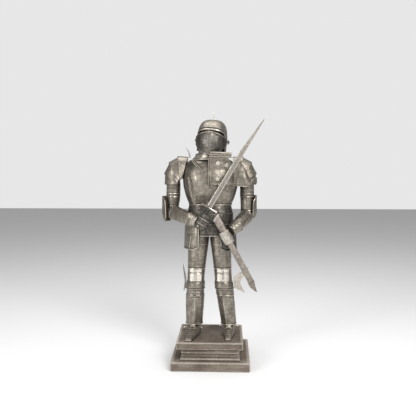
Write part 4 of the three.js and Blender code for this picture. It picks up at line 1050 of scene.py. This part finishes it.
arms = {
    "right": {"side": -1, "shoulder": (-91, 5, 466), "armBottom": 381, "armTaper": 4, "elbow": (-89.9, -5, 370.2),
              "wrist": (-44.3, -57.6, 357.7), "cuffEnd": (-29.5, -63.5, 352.2), "couter": (-93, 3), "couterRadius": 25.2,
              "couterFoot": 347, "couterTop": 410},
    "left": {"side": 1, "shoulder": (90, 5, 466), "armBottom": 370, "armTaper": 0.6, "elbow": (91, -0.5, 363.2),
             "wrist": (63.6, -44, 339.6), "cuffEnd": (51.5, -54, 330.5), "couter": (90.5, 3), "couterRadius": 22.8,
             "couterFoot": 356, "couterTop": 412.5},
}
armRadius, elbowRadius = 17.2, 17.3


def roundTube(z, radius, relief, around=80, dent=0.14, seed=1):
    grid = ovalGrid(z, roundAngles(around), radius, radius)
    aa, zz = np.meshgrid(roundAngles(around), z)
    raised = relief(aa, zz)
    grid = grid + normalsOf(grid, True) * (raised + dent * np.minimum(beaten(grid, 14, seed), 0.3))[..., None]
    return grid, raised


def buildRerebrace(which, arm):
    x, y, top = arm["shoulder"]
    r, bottom = armRadius, arm["armBottom"]
    z = evenly(bottom, top, 170)
    radius = flowing([(bottom, r - arm["armTaper"]), (402, r - 0.6), (412.5, r), (437, r), (top, r - 6)], z)

    def relief(a, zz):
        ribs = 0.5 * np.maximum(0, np.sin((zz - 420) * 2 * pi / 3.4)) * ease(zz, 419, 422)
        bands = 0.8 * (swell(zz, 416.5, 2.2) + swell(zz, 409, 1.8))
        foot = (0.8 if which == "left" else 0.3) * swell(zz, bottom + 5, 2.2) - 0.5 * swell(zz, bottom + 9, 1.3)
        return ribs + bands + foot

    grid, raised = roundTube(z, radius, relief, 84, 0.2, 101)
    grid[..., 0] += x + (np.sign(x) * 0.018 * (top - z))[:, None]
    grid[..., 1] += y
    wearAndSheen, grimeAndShade = wearOf(raised)
    makePiece(f"{which}_rerebrace_shell", solidMesh(grid), plateSteel, f"{which}_rerebrace", wearAndSheen=wearAndSheen, grimeAndShade=grimeAndShade)


def buildForearm(which, arm):
    r, length = elbowRadius, distance(arm["elbow"], arm["wrist"])
    start = -r * 0.92
    z = np.concatenate([[start], start + (length - gap - start) * evenly(0, 1, 120)[1:]])
    radius = flowing([(start, 1.2), (start + 0.5, r * 0.3), (-r * 0.8, r * 0.6), (-r * 0.55, r * 0.84), (-r * 0.3, r * 0.96), (3, r),
                      (8, r), (length * 0.6, r - 1.4), (length - gap, r - 4.8)], z)

    def relief(a, zz):
        return 0.8 * swell(zz, 5.5, 2.4) + 0.35 * swell(zz, length * 0.55, 1.6) + 0.3 * swell(zz, -6, 1.6)

    grid, raised = roundTube(z, radius, relief, 84, 0.2, 102)
    wearAndSheen, grimeAndShade = wearOf(raised)
    makePiece(f"{which}_vambrace_shell", solidMesh(aim(grid, arm["elbow"], arm["wrist"])), plateSteel, f"{which}_vambrace",
              wearAndSheen=wearAndSheen, grimeAndShade=grimeAndShade)
    long = distance(arm["wrist"], arm["cuffEnd"])
    z = evenly(-6, long, 80)
    radius = flowing([(-6, 16.4), (-3, 16.8), (0, 15.6), (long * 0.5, 13.2), (long, 11.4)], z)

    def cuffRelief(a, zz):
        return 0.5 * swell(zz, -4.6, 1.3) + 0.9 * swell(zz, long * 0.55, 1.5) + 0.6 * swell(zz, long - 1.6, 1.2)

    grid, raised = roundTube(z, radius, cuffRelief, 72, 0.15, 103)
    wearAndSheen, grimeAndShade = wearOf(raised)
    # The far half of the right cuff is painted lighter.
    light = ease(evenly(0, 1, 80), 0.4, 0.6)[:, None] * (which == "right")
    makePiece(f"{which}_gauntlet_cuff_shell", solidMesh(aim(grid, arm["wrist"], arm["cuffEnd"])), plateSteel,
              f"{which}_gauntlet_cuff", wearAndSheen=np.maximum(wearAndSheen, light), grimeAndShade=grimeAndShade)


def buildCouter(which, arm):
    side, (cx, cy) = arm["side"], arm["couter"]
    foot, top = arm["couterFoot"], arm["couterTop"]
    heights = [(0, foot), (0.12, foot + 5), (0.45, 374), (0.8, 398), (1, top)]
    widening = [(0, 0.79), (0.12, 0.9), (0.45, 1), (0.8, 1.01), (1, 1.02)]
    front = [(0, 10), (0.12, 40), (0.3, 54), (0.6, 54), (0.8, 50), (1, 22)]

    def surface(u, v):
        angle = np.radians(lerp(-68, flowing(front, v), u))
        r = arm["couterRadius"] * flowing(widening, v)
        return np.stack([cx + side * r * np.cos(angle), cy - r * np.sin(angle), flowing(heights, v)], -1)

    def relief(u, v):
        edge = np.maximum.reduce([swell(v, 0.985, 0.03), swell(u, 0.98, 0.03), swell(v, 0.015, 0.03), swell(u, 0.02, 0.03)])
        ridge = 0.7 * swell(u, 0.62, 0.03) * swell(v, 0.45, 0.4)
        return 0.8 * edge + ridge

    outer, inner, raised = platePoints(evenly(0, 1, 100), evenly(0, 1, 90), surface, relief, sheet, -side, 0.2, 14, 104)
    wearAndSheen, grimeAndShade = wearOf(raised)
    makePiece(f"{which}_couter_shell", shellMesh(outer, inner), plateSteel, f"{which}_couter", wearAndSheen=wearAndSheen, grimeAndShade=grimeAndShade)


for which in ("right", "left"):
    buildRerebrace(which, arms[which])
    buildForearm(which, arms[which])
    buildCouter(which, arms[which])
print("arms ready")

# ---- sword, scabbard and the hands that hold them

sword = {"guard": (-0.8, -72, 386.7), "tip": (123.2, -60, 594.6), "length": 243.5, "half": 5.8, "taperStart": 152}
scabbard = {"throat": (14.6, -62, 364.9), "tip": (113.2, -51, 182.6), "length": 177, "throatHalf": 9.5, "endHalf": 7.1,
            "wall": 0.9}


# A plate curled round Z, open on one side, with knuckle ridges and, on the left, small scales.
def buildMitten(which, halfWidth, halfDepth, length, opening, offset, start, end, material, scaly):
    def surface(u, v):
        angle = np.radians(opening + lerp(-125, 125, u))
        full = 1 - 0.14 * (2 * v - 1) ** 2
        return np.stack([halfWidth * np.sin(angle) * full, -halfDepth * np.cos(angle) * full, v * length], -1)

    def relief(u, v):
        knuckles = 1.0 * (swell(v, 0.33, 0.06) + swell(v, 0.67, 0.06))
        row = np.floor(v * 9)
        across = (u * 13 + 0.5 * (row % 2)) % 1 - 0.5
        down = (v * 9) % 1
        scales = 0.75 * np.clip(1 - np.hypot(across * 1.8, down * 0.95), 0, 1)
        fingers = 0.5 * np.abs(np.sin(v * pi * 4)) * ease(np.abs(u - 0.5), 0.18, 0.3)
        return scales if scaly else knuckles + fingers

    outer, inner, raised = platePoints(evenly(0, 1, 150), evenly(0, 1, 110), surface, relief, 1.6, 1, 0.1, 9, 111)
    wearAndSheen, grimeAndShade = wearOf(raised)
    move = lambda g: aim(g + np.array(offset), start, end)
    makePiece(f"{which}_gauntlet_mitten", shellMesh(move(outer), move(inner)), material, f"{which}_gauntlet_hand",
              wearAndSheen=wearAndSheen, grimeAndShade=grimeAndShade)


# The blade keeps one straight edge and tapers on the other, with a narrow bevel down each edge.
def buildBlade():
    half, length = sword["half"], sword["length"]
    z = np.concatenate([np.linspace(3, length - 9, 90), np.linspace(length - 9, length, 8)[1:]])
    left = np.interp(z, [3, sword["taperStart"], length - 9, length], [-half, -half, half - 3.2, half - 1.6])
    bevel = np.minimum(1.8, (half - left) * 0.3)
    face = 1.2 - 0.35 * ease(z, length - 60, length)
    right = np.full_like(z, half)
    section = [(left, 0 * z), (left + bevel, -face), ((left + right) / 2, -face * 0.82), (right - bevel, -face), (right, 0 * z),
               (right - bevel, face), ((left + right) / 2, face * 0.82), (left + bevel, face)]
    grid = np.stack([np.stack([x, y, z], -1) for x, y in section], 1)
    wearAndSheen = np.zeros(grid.shape[:2])
    wearAndSheen[:, [0, 4]] = 0.9
    grimeAndShade = np.zeros_like(wearAndSheen)
    grimeAndShade[:, [2, 6]] = 0.25
    makePiece("sword_blade_ground", solidMesh(aim(grid, sword["guard"], sword["tip"])), bladeSteel, "sword_blade",
              wearAndSheen=wearAndSheen, grimeAndShade=grimeAndShade, sharp=12)


def buildHilt():
    t = evenly(-20, 22.5, 90)
    r = flowing([(-20, 0.6), (-19, 2.4), (-16.4, 2.5), (-15, 1.7), (0, 2), (17, 1.7), (18.4, 2.5), (21, 2.6), (22.5, 0.6)], t)
    grid = ovalGrid(t, roundAngles(32), r, r)
    grid = np.stack([grid[..., 2], grid[..., 1], grid[..., 0]], -1)
    # A painted highlight on one half of the cross bar and painted shade on the other half.
    bright = np.broadcast_to(ease(t, -2, 6)[:, None] * 0.8, grid.shape[:2])
    makePiece("sword_cross_bar", solidMesh(aim(grid, sword["guard"], sword["tip"])), brightSteelAndSheen, "sword_guard",
              wearAndSheen=bright, grimeAndShade=0.6 - bright)
    z = evenly(-50, -3, 120)
    r = flowing([(-50, 4.4), (-30, 5), (-3, 5.4)], z) + 0.35 * np.sin(z * 2 * pi / 2.6) - 0.3
    grid = ovalGrid(z, roundAngles(36), r, r)
    makePiece("sword_grip_wound", solidMesh(aim(grid, sword["guard"], sword["tip"])), darkSteelAndShade, "sword_grip")


def buildScabbard():
    length, wall = scabbard["length"], scabbard["wall"]
    half = lambda z: lerp(scabbard["throatHalf"], scabbard["endHalf"], np.minimum(1, z / 80))
    z = evenly(0, length - 2, 150)
    angle = roundAngles(72)

    def tube(z, r):
        grid = ovalGrid(z, angle, r, r * 0.46)
        slant = grid[..., 0] * 0.42 * (1 - ease(grid[..., 2], 14, 26))
        grid[..., 2] += slant
        return grid

    lip = 0.6 * (1 - ease(z, 4, 6.5))
    rings = 0.8 * (swell(z, 22, 1.6) + swell(z, 66, 1.6) + swell(z, 150, 1.4))
    outer = tube(z, half(z) + lip + rings)
    floor = z * (length - 4) / (length - 2)
    inner = tube(floor, half(floor) - wall)
    sharpEdge = ovalGrid(np.array([length - 0.2, length]), angle, half(length) - 0.2, half(length) * 0.46 - 0.1)
    grid = np.concatenate([inner[::-1], outer, sharpEdge])
    along_ = np.concatenate([z[::-1] * 0, lip / 0.6 * 0.9 + rings, [0.4, 0.4]])
    dents = 0.12 * np.minimum(beaten(grid, 12, 121), 0.2)
    grid = grid + np.stack([dents, 0 * dents, 0 * dents], -1)
    makePiece("scabbard_sheath", solidMesh(aim(grid, scabbard["throat"], scabbard["tip"])), scabbardMetal, "scabbard",
              wearAndSheen=np.broadcast_to(along_[:, None], grid.shape[:2]), sharp=45)


def buildChain():
    route = np.array([(-50.6, -46, 458), (-48.5, -50, 445), (-47, -50.5, 432), (-43.5, -50, 416), (-40, -47.5, 403),
                      (-33, -50, 391), (-27, -57, 385), (-22.5, -66, 385.5)], float)
    run = np.concatenate([[0], np.cumsum(np.linalg.norm(np.diff(route, axis=0), axis=1))])
    links = 12
    at = (np.arange(links) + 0.5) / links * run[-1]
    place = np.stack([flowing(list(zip(run, route[:, k])), at) for k in range(3)], -1)
    ahead = np.stack([flowing(list(zip(run, route[:, k])), at + 0.5) for k in range(3)], -1) - place
    ahead /= np.linalg.norm(ahead, axis=1, keepdims=True)
    a, b = np.meshgrid(roundAngles(28), roundAngles(12), indexing="ij")
    around, across = a.shape
    parts = []
    for i in range(links):
        x, y, z = (2.3 + 0.8 * np.cos(b)) * np.cos(a) * 1.65, (2.3 + 0.8 * np.cos(b)) * np.sin(a), 0.8 * np.sin(b)
        turn = (i % 2) * pi / 2 + 0.5
        y, z = y * np.cos(turn) - z * np.sin(turn), y * np.sin(turn) + z * np.cos(turn)
        side = np.cross(ahead[i], [0, 1, 0])
        side /= np.linalg.norm(side)
        frameOf = np.stack([ahead[i], np.cross(side, ahead[i]), side])
        grid = np.stack([x, y, z], -1) @ frameOf + place[i]
        j, k = np.meshgrid(np.arange(around), np.arange(across), indexing="ij")
        cell = lambda p, q: (p % around) * across + q % across
        faces = np.stack([cell(j, k), cell(j + 1, k), cell(j + 1, k + 1), cell(j, k), cell(j + 1, k + 1), cell(j, k + 1)], -1)
        parts.append((grid.reshape(-1, 3), faces.reshape(-1, 3)))
    makePiece("guard_chain_links", joinMeshes(parts), plateSteel, "guard_chain", wearAndSheen=np.full(links * a.size, 0.35), sharp=60)


# The right mitten takes the dark steel look as painted shade, since its plate faces down, away from the light.
buildMitten("right", 12, 12, 38, 48, (5, 0, -55), sword["guard"], sword["tip"], darkSteelAndShade, False)
buildMitten("left", 11.4, 9, 32, -40, (0, 0, 40), scabbard["throat"], scabbard["tip"], brightSteelAndSheen, True)
buildBlade()
buildHilt()
buildScabbard()
buildChain()
print("sword and scabbard ready")

# CAD nodes that stay as they are take the same looks.
for name, look in (("right_knee_wing", plateSteel), ("left_knee_wing", brightSteelAndSheen), ("helmet_finial", brightSteelAndSheen),
                   ("right_shoulder_spike", brightSteelAndSheen), ("scabbard_chape", plateSteel)):
    mesh = nodes[name].data
    mesh.materials.clear()
    mesh.materials.append(look)

# ---- camera, light and floor

cameraData = bpy.data.cameras.new("camera")
camera = bpy.data.objects.new("camera", cameraData)
bpy.context.scene.collection.objects.link(camera)
cameraData.lens = 47.48
cameraData.sensor_width = 36
camera.location = (0.0445, -1.3546, 0.4816)
camera.rotation_euler = (radians(85.75), 0, radians(2.23))
bpy.context.scene.camera = camera


def addLight(name, place, target, size, energy, colour=(1, 1, 1)):
    data = bpy.data.lights.new(name, "AREA")
    data.shape = "RECTANGLE"
    data.size, data.size_y = size
    data.energy = energy
    data.color = colour
    light = bpy.data.objects.new(name, data)
    bpy.context.scene.collection.objects.link(light)
    way = np.array(target, float) - np.array(place, float)
    light.location = place
    light.rotation_euler = Vector(way).to_track_quat("-Z", "Y").to_euler()
    return light


addLight("key", (0.9, -1.5, 1.5), (0, 0, 0.35), (0.9, 1.2), 34)
addLight("fill", (-1.3, -1.3, 0.9), (0, 0, 0.3), (0.7, 1.3), 16)
addLight("top", (0, 0.2, 1.9), (0, 0, 0.3), (1.4, 1.0), 14)

world = bpy.data.worlds.new("studio")
bpy.context.scene.world = world
world.use_nodes = True
background = world.node_tree.nodes["Background"]
background.inputs["Color"].default_value = (1, 1, 1, 1)
background.inputs["Strength"].default_value = 0.35
white = world.node_tree.nodes.new("ShaderNodeBackground")
white.inputs["Strength"].default_value = 1.0
path = world.node_tree.nodes.new("ShaderNodeLightPath")
mixed = world.node_tree.nodes.new("ShaderNodeMixShader")
world.node_tree.links.new(path.outputs["Is Camera Ray"], mixed.inputs[0])
world.node_tree.links.new(background.outputs[0], mixed.inputs[1])
world.node_tree.links.new(white.outputs[0], mixed.inputs[2])
world.node_tree.links.new(mixed.outputs[0], world.node_tree.nodes["World Output"].inputs["Surface"])
bpy.context.scene.view_settings.view_transform = "Standard"

floorMesh = bpy.data.meshes.new("floor")
floorMesh.from_pydata([(-4, -3, 0), (4, -3, 0), (4, 5, 0), (-4, 5, 0)], [], [(0, 1, 2, 3)])
floor = bpy.data.objects.new("floor", floorMesh)
bpy.context.scene.collection.objects.link(floor)
floorLook = bpy.data.materials.new("pale_floor")
floorLook.use_nodes = True
floorShader = floorLook.node_tree.nodes["Principled BSDF"]
floorShader.inputs["Base Color"].default_value = (0.92, 0.92, 0.92, 1)
floorShader.inputs["Roughness"].default_value = 0.55
floorMesh.materials.append(floorLook)
floor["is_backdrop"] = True
print("stage ready")

triangles = sum(len(o.data.loop_triangles) or sum(len(p.vertices) - 2 for p in o.data.polygons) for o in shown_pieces())
print("triangles", triangles)
